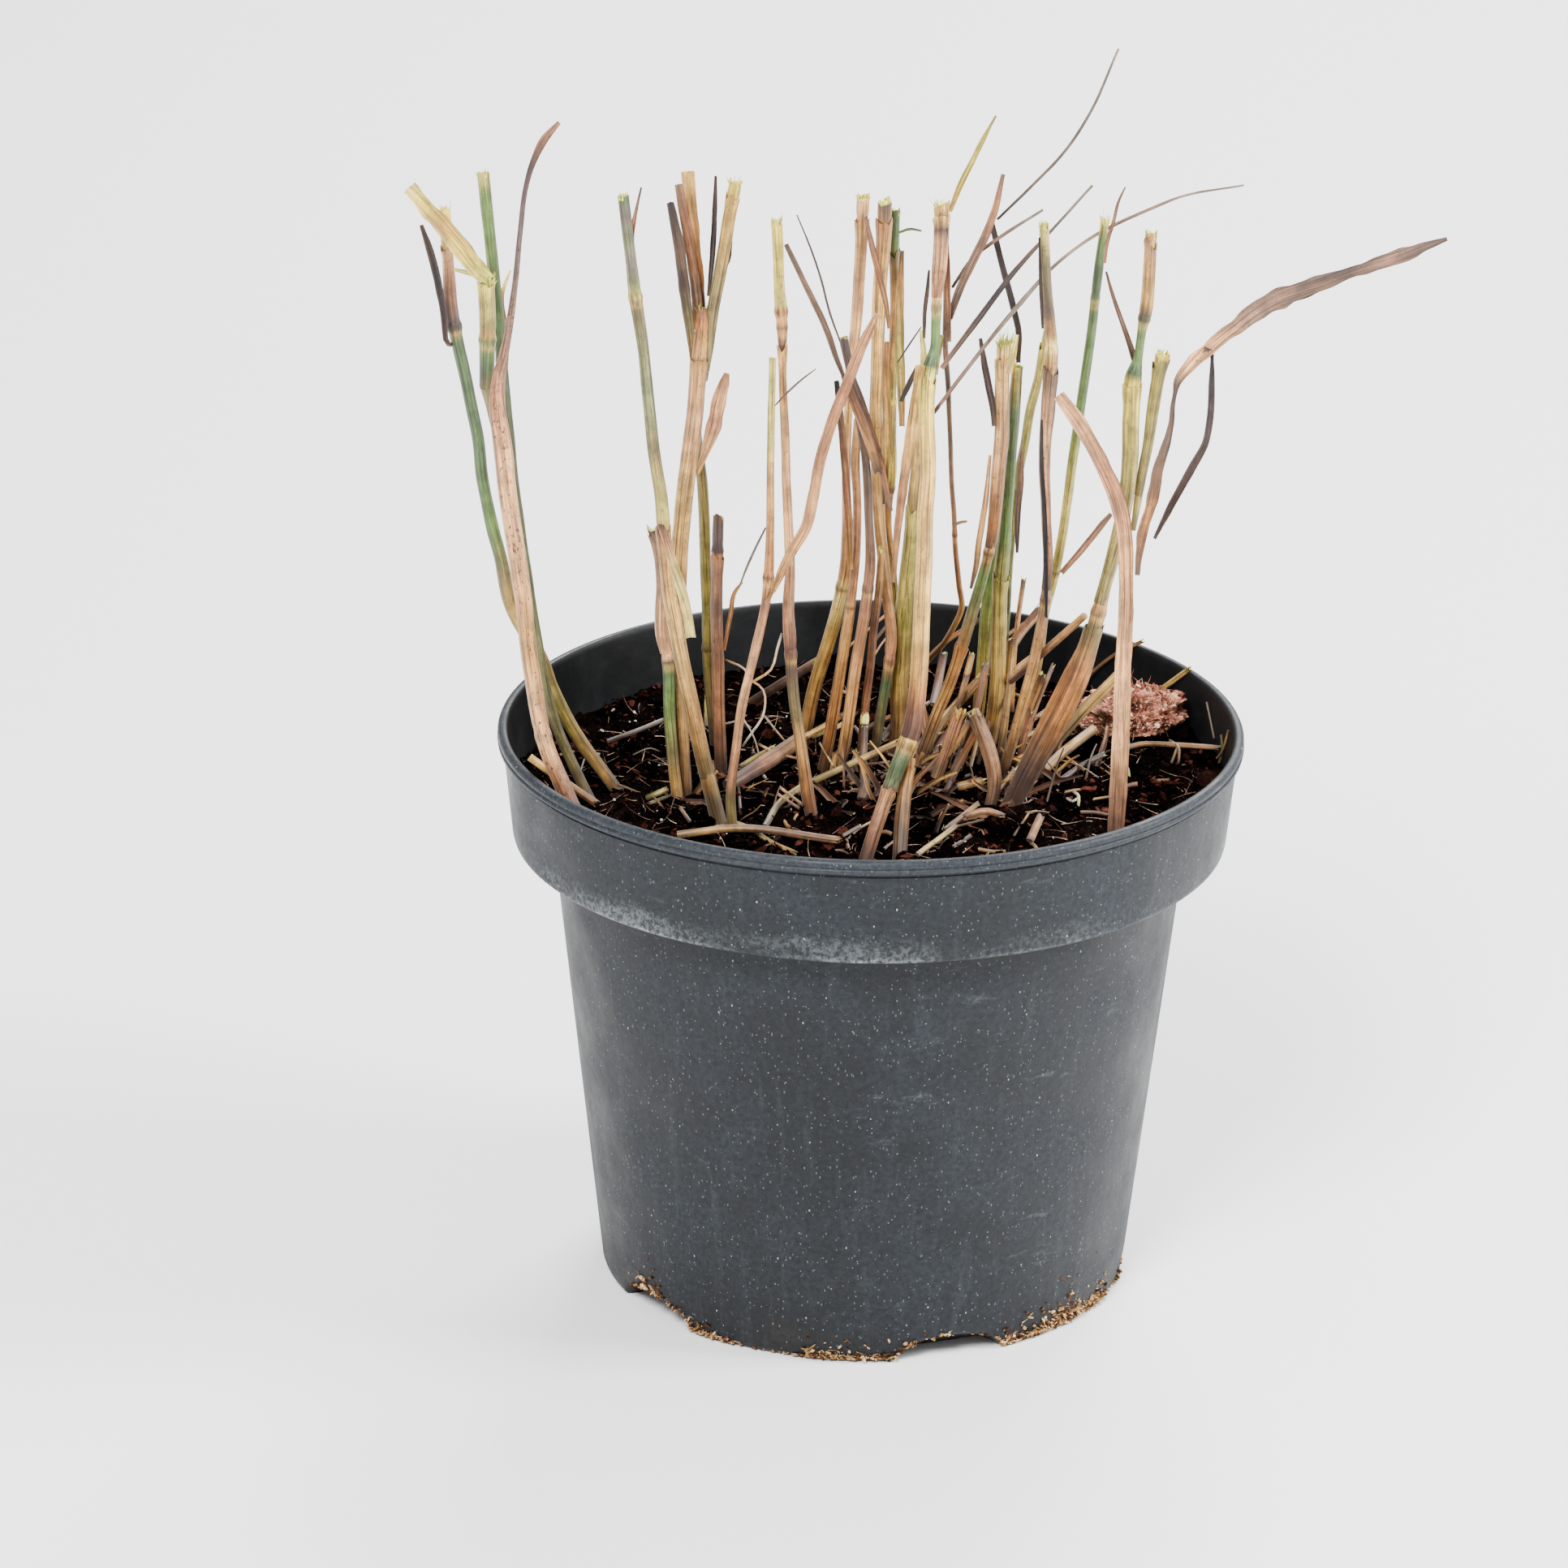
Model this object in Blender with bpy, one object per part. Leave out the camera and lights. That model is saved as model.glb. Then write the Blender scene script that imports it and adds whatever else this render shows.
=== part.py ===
"""A cut-back clump of tall ornamental grass in a five-litre plastic nursery pot.

Metres, +Z up. The origin is the middle of the pot's flat base, on the ground.
The front of the pot faces -Y, and +X is to the right as seen from the front.

The pot and the peat are turned about the Z axis. Each culm, leaf and straw is a closed strand, carried
along a route that is read as a gardener would sketch it: how far across and how far up each point shows,
in millimetres from the middle of the rim, from an eye in front of the pot. A culm's foot stands where
that line of sight meets the peat, and its tip lies a stated way in front of or behind the pot's axis.
"""
import math

import bmesh
import bpy
from mathutils import Vector

MM = 0.001

# Pot
POT_HEIGHT = 178 * MM
RIM_RADIUS = 115 * MM
RIM_HEIGHT = 3.6 * MM
COLLAR_TOP_RADIUS = 113.3 * MM
COLLAR_FOOT_RADIUS = 110.3 * MM
COLLAR_FOOT = 143 * MM
BODY_TOP_RADIUS = 98 * MM
BASE_RADIUS = 82 * MM
FLAT_BASE_RADIUS = 70 * MM
WALL = 1.7 * MM
FLOOR_CORNER = 3.2 * MM
POT_SIDES = 50
DRAIN_COUNT = 5
DRAIN_FIRST_ANGLE = math.radians(-70.4)
DRAIN_HALF_ANGLE = math.radians(12)
DRAIN_RISE = 7 * MM
DRAIN_HOLE_RADIUS = 3.5 * MM
DRAIN_HOLE_PLACE = 76 * MM

# Peat
PEAT_DROP = 20 * MM
PEAT_CLEARANCE = 0.5 * MM
PEAT_SIDES = 25
PEAT_RISE_RIGHT = 4 * MM
PEAT_UNEVEN = 1.1 * MM
PEAT_RINGS = (0.87, 0.68, 0.47, 0.24)
SOCKET_CLEARANCE = 0.35 * MM
ROOT_DEPTH = 6 * MM

# The eye that the routes are read from
EYE_DISTANCE = 2500 * MM
EYE_TILT = math.radians(20.7)
EYE_ROLL = math.radians(0.9)

LEAF = 0.6
STRAND_SIDES = 6
SLIM_SIDES = 5
LEAF_SIDES = 4

RIM_CENTRE = Vector((0, 0, POT_HEIGHT))
PEAT_LEVEL = POT_HEIGHT - PEAT_DROP
FORWARD = Vector((0, math.cos(EYE_TILT), -math.sin(EYE_TILT)))
LEVEL_UP = Vector((0, math.sin(EYE_TILT), math.cos(EYE_TILT)))
EYE = RIM_CENTRE - EYE_DISTANCE * FORWARD
SEEN_RIGHT = math.cos(EYE_ROLL) * Vector((1, 0, 0)) + math.sin(EYE_ROLL) * LEVEL_UP
SEEN_UP = math.cos(EYE_ROLL) * LEVEL_UP - math.sin(EYE_ROLL) * Vector((1, 0, 0))

FINISHES = {
    "black_pot_plastic": ("#2b3034", 0.55),
    "dark_peat": ("#1e1613", 0.95),
    "fibrous_peat": ("#6e4636", 0.95),
    "tan_culm": ("#c9a679", 0.6),
    "cream_culm": ("#ddcf9c", 0.6),
    "pink_sheath": ("#cfa796", 0.65),
    "olive_culm": ("#a39a5c", 0.55),
    "green_culm": ("#8ea165", 0.5),
    "brown_leaf": ("#8f6d5e", 0.7),
    "dark_leaf": ("#4a3a38", 0.7),
}


def clear_scene():
    for thing in list(bpy.data.objects):
        bpy.data.objects.remove(thing, do_unlink=True)


def linear(hex_colour):
    """An sRGB hex colour as linear red, green, blue and alpha."""
    parts = [int(hex_colour[i:i + 2], 16) / 255 for i in (1, 3, 5)]
    return [c / 12.92 if c <= 0.04045 else ((c + 0.055) / 1.055) ** 2.4 for c in parts] + [1.0]


def finish(name):
    """The material of that name, made the first time it is asked for."""
    if name in bpy.data.materials:
        return bpy.data.materials[name]
    hex_colour, roughness = FINISHES[name]
    material = bpy.data.materials.new(name)
    material.use_nodes = True
    shader = material.node_tree.nodes["Principled BSDF"]
    shader.inputs["Base Color"].default_value = linear(hex_colour)
    shader.inputs["Roughness"].default_value = roughness
    shader.inputs["Metallic"].default_value = 0.0
    material.diffuse_color = linear(hex_colour)
    return material


def keep(name, bm, material_name, sharp_angle=40):
    """Turn a bmesh into a named, smooth-shaded object."""
    bmesh.ops.recalc_face_normals(bm, faces=bm.faces)
    mesh = bpy.data.meshes.new(name)
    bm.to_mesh(mesh)
    bm.free()
    mesh.shade_smooth()
    mesh.set_sharp_from_angle(angle=math.radians(sharp_angle))
    mesh.materials.append(finish(material_name))
    thing = bpy.data.objects.new(name, mesh)
    bpy.context.scene.collection.objects.link(thing)
    return thing


def cut(thing, bm, name):
    """Subtract closed bodies from an object, and leave no cutter behind."""
    mesh = bpy.data.meshes.new(name)
    bmesh.ops.recalc_face_normals(bm, faces=bm.faces)
    bm.to_mesh(mesh)
    bm.free()
    cutter = bpy.data.objects.new(name, mesh)
    bpy.context.scene.collection.objects.link(cutter)
    modifier = thing.modifiers.new("cut", "BOOLEAN")
    modifier.operation = "DIFFERENCE"
    modifier.solver = "EXACT"
    modifier.use_self = True
    modifier.object = cutter
    bpy.context.view_layer.update()
    evaluated = thing.evaluated_get(bpy.context.evaluated_depsgraph_get())
    cut_mesh = bpy.data.meshes.new_from_object(evaluated)
    thing.modifiers.clear()
    thing.data = cut_mesh
    bpy.data.objects.remove(cutter, do_unlink=True)


def add_ring(bm, points):
    return [bm.verts.new(p) for p in points]


def bridge(bm, ring, next_ring):
    """Join two rings of the same count with quads."""
    count = len(ring)
    for i in range(count):
        j = (i + 1) % count
        bm.faces.new((ring[i], ring[j], next_ring[j], next_ring[i]))


def bridge_skin(bm, ring, next_ring):
    """Join two rings turned about Z with triangles.

    Every diagonal runs from the wider ring, so a thin wall's two skins stay parallel at an arch.
    """
    wide, slim = ring, next_ring
    if slim[0].co.xy.length > wide[0].co.xy.length:
        wide, slim = slim, wide
    count = len(ring)
    for i in range(count):
        j = (i + 1) % count
        bm.faces.new((wide[i], slim[j], slim[i]))
        bm.faces.new((wide[i], wide[j], slim[j]))


def fan(bm, ring, centre):
    for i in range(len(ring)):
        bm.faces.new((ring[i], ring[(i + 1) % len(ring)], centre))


def turned(profile, sides, move):
    """A closed solid turned about Z. The profile starts and ends on the axis.

    move(radius, height, angle) gives a point its own radius and height, for recesses and uneven tops.
    """
    bm = bmesh.new()
    rings = []
    for radius, height in profile[1:-1]:
        points = []
        for i in range(sides):
            angle = 2 * math.pi * i / sides
            r, z = move(radius, height, angle)
            points.append((r * math.cos(angle), r * math.sin(angle), z))
        rings.append(add_ring(bm, points))
    for ring, next_ring in zip(rings, rings[1:]):
        bridge_skin(bm, ring, next_ring)
    ends = []
    for radius, height in (profile[0], profile[-1]):
        ends.append(bm.verts.new((0, 0, move(radius, height, 0)[1])))
    fan(bm, rings[0], ends[0])
    fan(bm, rings[-1], ends[1])
    return bm


def inner_radius(height):
    """The radius of the pot's inner wall, below or above its step."""
    if height < COLLAR_FOOT + WALL:
        share = max(0.0, height - FLOOR_CORNER) / (COLLAR_FOOT - FLOOR_CORNER)
        return BASE_RADIUS + (BODY_TOP_RADIUS - BASE_RADIUS) * share - WALL
    share = (height - COLLAR_FOOT) / (POT_HEIGHT - RIM_HEIGHT - COLLAR_FOOT)
    return COLLAR_FOOT_RADIUS + (COLLAR_TOP_RADIUS - COLLAR_FOOT_RADIUS) * share - WALL


def drain_angles():
    return [DRAIN_FIRST_ANGLE + 2 * math.pi * i / DRAIN_COUNT for i in range(DRAIN_COUNT)]


def drain_lift(radius, height, angle):
    """Raise the corner between wall and base into an arch at each drain, along the wall's slope."""
    if radius < FLAT_BASE_RADIUS + MM or height > 4 * MM:
        return radius, height
    slope = (BODY_TOP_RADIUS - BASE_RADIUS) / COLLAR_FOOT
    for place in drain_angles():
        turn = (angle - place + math.pi) % (2 * math.pi) - math.pi
        if abs(turn) < DRAIN_HALF_ANGLE:
            rise = DRAIN_RISE * math.sqrt(1 - (turn / DRAIN_HALF_ANGLE) ** 2)
            return radius + slope * rise, height + rise
    return radius, height


def make_pot():
    """One thin-walled moulding: base with drain arches, tapered body, step, collar and rim lip."""
    body_foot = inner_radius(FLOOR_CORNER)
    outside = [
        (0, 0), (FLAT_BASE_RADIUS, 0), (BASE_RADIUS - 3 * MM, 0), (BASE_RADIUS, 1.5 * MM),
        (BODY_TOP_RADIUS, COLLAR_FOOT - MM), (COLLAR_FOOT_RADIUS - MM, COLLAR_FOOT),
        (COLLAR_FOOT_RADIUS, COLLAR_FOOT + 1.4 * MM),
        (COLLAR_TOP_RADIUS, POT_HEIGHT - RIM_HEIGHT - MM), (RIM_RADIUS, POT_HEIGHT - RIM_HEIGHT),
        (RIM_RADIUS, POT_HEIGHT - 0.8 * MM), (RIM_RADIUS - 0.9 * MM, POT_HEIGHT),
    ]
    inside = [
        (RIM_RADIUS - 3.2 * MM, POT_HEIGHT), (inner_radius(POT_HEIGHT), POT_HEIGHT - 0.9 * MM),
        (inner_radius(COLLAR_FOOT + 3 * MM), COLLAR_FOOT + 3 * MM),
        (COLLAR_FOOT_RADIUS - 3 * MM, COLLAR_FOOT + WALL), (BODY_TOP_RADIUS - WALL, COLLAR_FOOT),
        (body_foot, FLOOR_CORNER), (body_foot - 2 * MM, 1.8 * MM), (FLAT_BASE_RADIUS, 1.8 * MM), (0, 1.8 * MM),
    ]
    pot = keep("nursery_pot", turned(outside + inside, POT_SIDES, drain_lift), "black_pot_plastic")
    holes = bmesh.new()
    for angle in drain_angles():
        place = Vector((DRAIN_HOLE_PLACE * math.cos(angle), DRAIN_HOLE_PLACE * math.sin(angle), 0))
        rings = []
        for z in (-2 * MM, 20 * MM):
            points = []
            for i in range(8):
                turn = 2 * math.pi * i / 8
                points.append(place + DRAIN_HOLE_RADIUS * Vector((math.cos(turn), math.sin(turn), 0))
                              + Vector((0, 0, z)))
            rings.append(add_ring(holes, points))
        bridge(holes, rings[0], rings[1])
        holes.faces.new(rings[0])
        holes.faces.new(rings[1])
    cut(pot, holes, "drain_holes")
    return pot


def peat_top(x, y):
    """The height of the peat: gently uneven, and higher at the right."""
    rise = max(0.0, min(1.0, (x - 40 * MM) / (60 * MM)))
    waves = math.sin(61 * x + 1.3) * math.cos(53 * y) + 0.5 * math.sin(117 * x - 90 * y)
    return PEAT_LEVEL + PEAT_RISE_RIGHT * rise * rise * (3 - 2 * rise) + PEAT_UNEVEN * waves


def make_peat(sockets):
    """The root ball: it fills the pot with a small gap, and has a socket for each culm's foot."""
    gap = PEAT_CLEARANCE
    foot = 12.5 * MM
    top_radius = inner_radius(PEAT_LEVEL) - gap
    profile = [
        (0, 2.3 * MM), (FLAT_BASE_RADIUS - 0.6 * MM, 2.3 * MM), (inner_radius(foot) - gap, foot),
        (BODY_TOP_RADIUS - WALL - gap, COLLAR_FOOT + WALL + gap),
        (COLLAR_FOOT_RADIUS - 3.6 * MM, COLLAR_FOOT + WALL + gap),
        (inner_radius(COLLAR_FOOT + 4 * MM) - gap, COLLAR_FOOT + 4 * MM), (top_radius, PEAT_LEVEL),
    ]
    profile += [(top_radius * share, PEAT_LEVEL) for share in PEAT_RINGS] + [(0, PEAT_LEVEL)]

    def uneven(radius, height, angle):
        if height < PEAT_LEVEL - MM:
            return radius, height
        return radius, peat_top(radius * math.cos(angle), radius * math.sin(angle))

    peat = keep("peat_root_ball", turned(profile, PEAT_SIDES, uneven), "dark_peat", 60)
    cut(peat, sockets, "culm_sockets")
    return peat


def seen(across, up):
    """The point in millimetres on the picture plane through the middle of the rim."""
    return RIM_CENTRE + across * MM * SEEN_RIGHT + up * MM * SEEN_UP


def sight_at_depth(across, up, back):
    """Where the line of sight through (across, up) is `back` millimetres behind the pot's axis."""
    ray = seen(across, up) - EYE
    return EYE + ray * ((back * MM - EYE.y) / ray.y)


def sight_at_height(across, up, height):
    """Where the line of sight through (across, up) comes down to a height."""
    ray = seen(across, up) - EYE
    return EYE + ray * ((height - EYE.z) / ray.z)


def route_points(route, first_back, last_back):
    """The route in space: its depth goes evenly along it, from first_back to last_back."""
    if first_back is None:
        across, up = route[0][:2]
        first_back = sight_at_height(across, up, PEAT_LEVEL).y / MM
    run = [0.0]
    for here, after in zip(route, route[1:]):
        run.append(run[-1] + math.hypot(after[0] - here[0], after[1] - here[1]))
    points = []
    for place, so_far in zip(route, run):
        back = first_back + (last_back - first_back) * so_far / run[-1]
        points.append(sight_at_depth(place[0], place[1], back))
    return points


def strand_rings(points, sizes, sides, extra=0.0):
    """Rings of an ellipse carried along the points: its width shows from the front, its depth doesn't.

    The ellipse at each point is square to the way the strand runs there.
    """
    rings = []
    last = len(points) - 1
    for i, (point, (width, depth)) in enumerate(zip(points, sizes)):
        run = (points[min(i + 1, last)] - points[max(i - 1, 0)]).normalized()
        side = run.cross(point - EYE).normalized()
        face = side.cross(run)
        ring = []
        for k in range(sides):
            angle = 2 * math.pi * (k + 0.5) / sides
            reach = side * (width * MM / 2 + extra) * math.cos(angle)
            ring.append(point + reach + face * (depth * MM / 2 + extra) * math.sin(angle))
        rings.append(ring)
    return rings


def add_strand(bm, rings):
    made = [add_ring(bm, ring) for ring in rings]
    for ring, next_ring in zip(made, made[1:]):
        bridge(bm, ring, next_ring)
    bm.faces.new(made[0])
    bm.faces.new(made[-1])


def strand(name, material_name, route, tip_back, first_back=None, sides=STRAND_SIDES, sockets=None):
    """One culm, leaf or straw. A route point is across, up, width and, where it isn't round, depth.

    With no first_back the strand is rooted: its foot goes ROOT_DEPTH into the peat, in a socket.
    """
    points = route_points(route, first_back, tip_back)
    sizes = [(p[2], p[3] if len(p) > 3 else p[2]) for p in route]
    if first_back is None:
        slope = (points[0] - points[1]).normalized()
        root = points[0] + slope * (ROOT_DEPTH / -slope.z)
        points = [root] + points[1:]
        mouth = root + (points[1] - root) * min(1.0, 2.2 * ROOT_DEPTH / (points[1] - root).z)
        below = root + slope * SOCKET_CLEARANCE
        add_strand(sockets, strand_rings([below, mouth], sizes[:2], sides, SOCKET_CLEARANCE))
    bm = bmesh.new()
    add_strand(bm, strand_rings(points, sizes, sides))
    return keep(name, bm, material_name, 75)


def leaf(name, material_name, route, first_back, tip_back):
    """A dry leaf or sheath strip, LEAF millimetres thick."""
    flat = [(across, up, width, LEAF) for across, up, width in route]
    return strand(name, material_name, flat, tip_back, first_back, LEAF_SIDES)


def make_left_culms(sockets):
    strand("speckled_sheath_culm", "pink_sheath", [
        (-89, -32, 5.5), (-94.5, -20, 5.5), (-100, -7, 5.5), (-103, 6, 5.5), (-105, 20, 5.5), (-107, 38, 5.8),
        (-109, 51, 6), (-111.5, 68, 6.2), (-113.5, 85, 6.5), (-115, 98, 6.5), (-114.5, 107, 5, 4),
        (-112.5, 116, 3.5, 1.5), (-110, 130, 3, 0.8), (-108.5, 147, 2.8, LEAF), (-106.5, 164, 2.6, LEAF),
        (-104, 173, 2.4, LEAF), (-100.5, 180, 2.2, LEAF), (-95.5, 186, 1.2, LEAF)], -20, sockets=sockets)
    strand("broken_cream_culm", "cream_culm", [
        (-118.5, 104, 4.5), (-118, 114, 5), (-118, 124, 5), (-118.5, 135, 5.5), (-121.5, 142.5, 5),
        (-128, 149.5, 4.5), (-135, 157, 4), (-142.5, 165.5, 3.5)], -20, first_back=-23.5)
    strand("green_stub_culm", "green_culm", [
        (-86, -24, 3.5), (-92, -12, 3.5), (-97, 0, 3.5), (-100.5, 13, 3.5), (-103.5, 30, 3.5), (-107, 52, 3.5),
        (-110.5, 80, 3.5), (-113, 105, 3.6), (-114.5, 123, 3.8), (-116.7, 143, 3.8), (-119.5, 170, 3.6)],
        -5, sides=SLIM_SIDES, sockets=sockets)
    strand("long_left_culm", "green_culm", [
        (-79, -19, 4), (-83.5, -13, 4.2), (-88.5, -6.5, 4.5), (-93.5, 1.5, 4.5), (-98.2, 11, 4.5),
        (-102, 21, 4.5), (-106.5, 28.5, 4.5), (-110.5, 36, 4.2), (-114.5, 53, 4.2), (-119, 73, 4.2),
        (-122, 93, 4.2), (-125, 108, 4.2), (-128, 121, 4), (-128.8, 125, 4.8), (-130, 139, 4),
        (-131, 159, 3.5)], 10, sides=SLIM_SIDES, sockets=sockets)
    leaf("left_folded_leaf", "dark_leaf", [
        (-131, 118.5, 1.6), (-131.7, 127, 2), (-133.3, 136, 2.4), (-135.8, 146, 2.4), (-138.5, 154, 1.2)],
        3.5, 2)


def make_second_culms(sockets):
    strand("grey_green_culm", "tan_culm", [
        (-47, -29, 5.5), (-50, -17, 5.5), (-52.5, -6, 5.5), (-55, 5, 5.5), (-57.5, 17, 5.3), (-59.8, 28, 5.2),
        (-61.8, 39, 5), (-63.2, 54, 4.7), (-64.5, 68, 4.4), (-66.5, 83, 4), (-68.2, 98, 3.8),
        (-71, 123, 3.8), (-72.5, 133, 4.4), (-73.7, 143, 3.8), (-76.2, 163, 3.6)], -15, sockets=sockets)
    strand("torn_sheath_culm", "green_culm", [
        (-59.5, -23, 3.6), (-60.8, -13, 3.6), (-62, 0, 3.6), (-62.8, 22, 3.6), (-64, 28, 4.6),
        (-64.3, 35, 4.6), (-64.3, 42, 3.6), (-65.3, 52, 3), (-67.3, 61, 3.4, 1.5)],
        -6, sides=SLIM_SIDES, sockets=sockets)
    leaf("cream_sheath_strip", "cream_culm", [
        (-64.8, 61.5, 2), (-62.3, 54, 2.8), (-60.5, 48, 3), (-58, 40.5, 3), (-56.3, 33, 3), (-55.5, 27, 3)],
        -27.5, -31)
    strand("forked_culm", "tan_culm", [
        (-57.7, -20.5, 5.5), (-58.5, -2, 5.5), (-59.5, 16, 5.5), (-59.8, 30, 5.6), (-59.3, 42, 5.8),
        (-57.5, 68, 5.8), (-55.7, 83, 5.8), (-54, 98, 6), (-52.7, 113, 6.2), (-52.3, 122, 6, 5),
        (-53.2, 132, 6, 4), (-55, 148, 6.2, 4), (-57.7, 169, 6.4, 3.4)], 15, sockets=sockets)
    leaf("fork_side_leaf", "dark_leaf", [
        (-56.8, 121, 1.8), (-57.5, 131, 2.7), (-59.5, 148, 2.7), (-62, 161, 2)], 5, 4)
    strand("olive_branch_culm", "olive_culm", [
        (-48.3, 121, 3.4), (-48, 128, 4.2), (-46.8, 138, 4.6), (-44.5, 151, 4.6), (-41.7, 167, 4)],
        8, first_back=4.5)
    leaf("pink_sheath_flake", "pink_sheath", [
        (-53.2, 78, 1.6), (-51.3, 83, 3), (-49.8, 87, 4.2), (-48, 92, 5), (-46.6, 99, 5.2),
        (-44.3, 108, 4.6)], 1.2, 0)
    strand("olive_back_culm", "olive_culm", [
        (-48, -6, 3.2), (-49, 5, 3.4), (-50, 20, 3.5), (-50.7, 38, 3.5), (-51.7, 68, 3.5),
        (-53.5, 90, 3)], 16, sides=SLIM_SIDES, sockets=sockets)
    strand("reddish_culm", "pink_sheath", [
        (-46, -15, 4.2), (-46.3, -6, 4.4), (-46.8, 9, 4.6), (-47.5, 38, 4.4), (-47, 64, 4)],
        12, sockets=sockets)
    strand("cream_culm", "cream_culm", [
        (-18.2, -28, 4), (-19.5, -20, 4.4), (-21, -11, 3.8), (-22.5, 0, 3.6), (-24.6, 20, 3.8),
        (-24.8, 27, 4.8), (-25.2, 34, 4), (-24.8, 48, 3.6), (-25.3, 63, 3.6), (-26.5, 93, 3.2),
        (-27.3, 120, 3.4), (-27.6, 125, 4.6), (-28, 131, 3.6), (-29, 155, 3.8)], -10, sockets=sockets)
    strand("thin_grey_culm", "tan_culm", [
        (-42.5, -31, 3), (-43.2, -22, 3), (-42.5, -13, 2.8), (-41, -3, 2.8), (-39.3, 7, 2.8), (-37, 17, 2.8),
        (-34.5, 28, 2.8), (-32.4, 38, 2.8), (-31.5, 47, 3.4), (-31, 56, 2.8), (-30.8, 83, 2.6),
        (-30, 113, 2.3)], -22, sides=SLIM_SIDES, sockets=sockets)
    leaf("pink_folded_leaf", "pink_sheath", [
        (-30.2, 41, 1.5), (-27.5, 47, 2.6), (-24.5, 53, 3.2), (-20, 61, 3.4), (-17.6, 71, 3.4),
        (-15.7, 81, 3.4), (-12.7, 91, 3.4), (-7.5, 104.5, 3.4), (-1.7, 119, 3.2), (1.9, 126.5, 1.6)],
        -31.5, -20)
    leaf("thin_brown_leaf", "brown_leaf", [
        (-8.5, 107.5, 1.2), (-10.7, 113, 1.8), (-13, 120, 2.2), (-20.7, 136.5, 2), (-26.2, 148, 1.6)],
        -20, -20)


def make_middle_culms(sockets):
    strand("bending_tan_culm", "tan_culm", [
        (-21.5, -9, 3.6), (-20.2, -2, 4), (-18.5, 6, 4.2), (-16, 16, 4.3), (-13, 26, 4.3), (-10, 37, 4.2),
        (-7.8, 47, 4.4), (-7, 58, 3.8), (-7.3, 68, 2.8), (-7.6, 83, 2.6), (-6.9, 98, 2.8), (-5.9, 111, 3.2),
        (-4.5, 124, 3.6), (-2.2, 162, 4)], 6, sides=SLIM_SIDES, sockets=sockets)
    strand("tan_culm_behind", "tan_culm", [
        (-15, -14, 3.4), (-12.5, -2, 3.8), (-10.7, 8, 3.8), (-7.7, 28, 3.4), (-4.8, 48, 2.8),
        (-4.3, 70, 2.6), (-4.8, 80, 2.8), (-4.2, 94, 2.4)], 6, sides=SLIM_SIDES, sockets=sockets)
    strand("slim_brown_culm", "tan_culm", [
        (-10.5, -16, 3.4), (-7.4, -2, 3.8), (-4.5, 18, 3.8), (-1.4, 38, 3.6), (-0.4, 48, 3.4),
        (-0.6, 60, 2.8), (-1.9, 83, 2.6), (-3.4, 93, 2.6), (-5.3, 103, 2.6), (-7, 112, 2.6),
        (-8.3, 119, 2.8)], -6, sides=SLIM_SIDES, sockets=sockets)
    strand("short_pink_stem", "pink_sheath", [
        (-3.2, -13, 2.6), (-1.9, 4, 2.6), (0.4, 24, 2.6), (2.6, 44, 2.6), (3.3, 54, 2.4)],
        4, sides=SLIM_SIDES, sockets=sockets)
    strand("olive_tan_culm", "olive_culm", [
        (0.5, -12, 2.8), (2.6, 0, 3.2), (5.8, 19, 3.4), (6.4, 24, 3.8), (4.6, 44, 3.6), (2.4, 66, 3.8),
        (1.8, 93, 4), (2.3, 121, 4.2), (3.8, 148, 4.6), (4.3, 161, 4.4)], 2, sockets=sockets)
    strand("right_bunch_culm", "tan_culm", [
        (7, -4, 2.6), (8, 5, 2.6), (8.5, 25, 2.6), (7, 45, 2.6), (5, 66, 2.8), (6.2, 77, 4), (6.3, 93, 3.8),
        (6.3, 103, 3.6), (7.5, 123, 4), (7.3, 148, 3.6), (7.6, 158, 3.2)], 8, sides=SLIM_SIDES,
        sockets=sockets)
    strand("wide_olive_sheath", "olive_culm", [
        (7.5, -9, 5), (8.6, 3, 5.5), (9, 14, 6.2), (9.7, 24, 7), (10.3, 34, 6.6), (11.2, 44, 5.2),
        (13.5, 73, 3.8), (16, 103, 2.6)], 4, sockets=sockets)
    strand("central_culm", "tan_culm", [
        (-1, -40, 4.8), (2, -31, 4.8), (5, -22, 4.8), (8.3, -13, 5), (11.3, -6, 5.8), (13.2, 0, 6.4),
        (14.2, 8, 5.8), (15.8, 40, 5.4), (17.5, 76, 5.2), (18.5, 111, 5.2), (19.6, 115.5, 3), (20, 123, 3),
        (20.4, 132, 3.4), (21, 138, 5), (22, 160, 5.4)], -12, sockets=sockets)
    strand("central_culm_leg", "tan_culm", [
        (9, -39.5, 4.6), (9.8, -28, 4.6), (10.6, -18, 4.4), (11.6, -11, 4)], -46, sockets=sockets)
    leaf("pinkish_strand", "pink_sheath", [
        (15.4, 111, 2.8), (13, 94, 3.4), (10.3, 76, 3), (8, 58, 2.2), (6.9, 44, 1.4)], -25.8, -14)
    strand("thin_dark_stem", "dark_leaf", [
        (9, 4, 1.6), (13, 12, 1.6), (18, 20, 1.7), (22.5, 25, 1.8), (25.5, 30, 1.9), (28, 36, 2),
        (27.2, 43, 1.9), (25.4, 66, 1.7), (24.1, 96, 1.6), (22.9, 121, 2), (23.2, 134, 2.2)],
        -10, sides=LEAF_SIDES, sockets=sockets)
    strand("bent_tan_stub", "tan_culm", [
        (19.2, -19, 3.6), (21.7, -13, 3.8), (24.7, -4, 4), (27.5, 4.5, 3.8)], 6, sockets=sockets)
    strand("bent_pink_stub", "pink_sheath", [
        (36.5, -25, 3), (38.2, -17, 4.4), (37.2, -10.5, 5), (34.7, -3, 4.8), (31.8, 3.5, 4)],
        -8, sockets=sockets)


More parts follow.
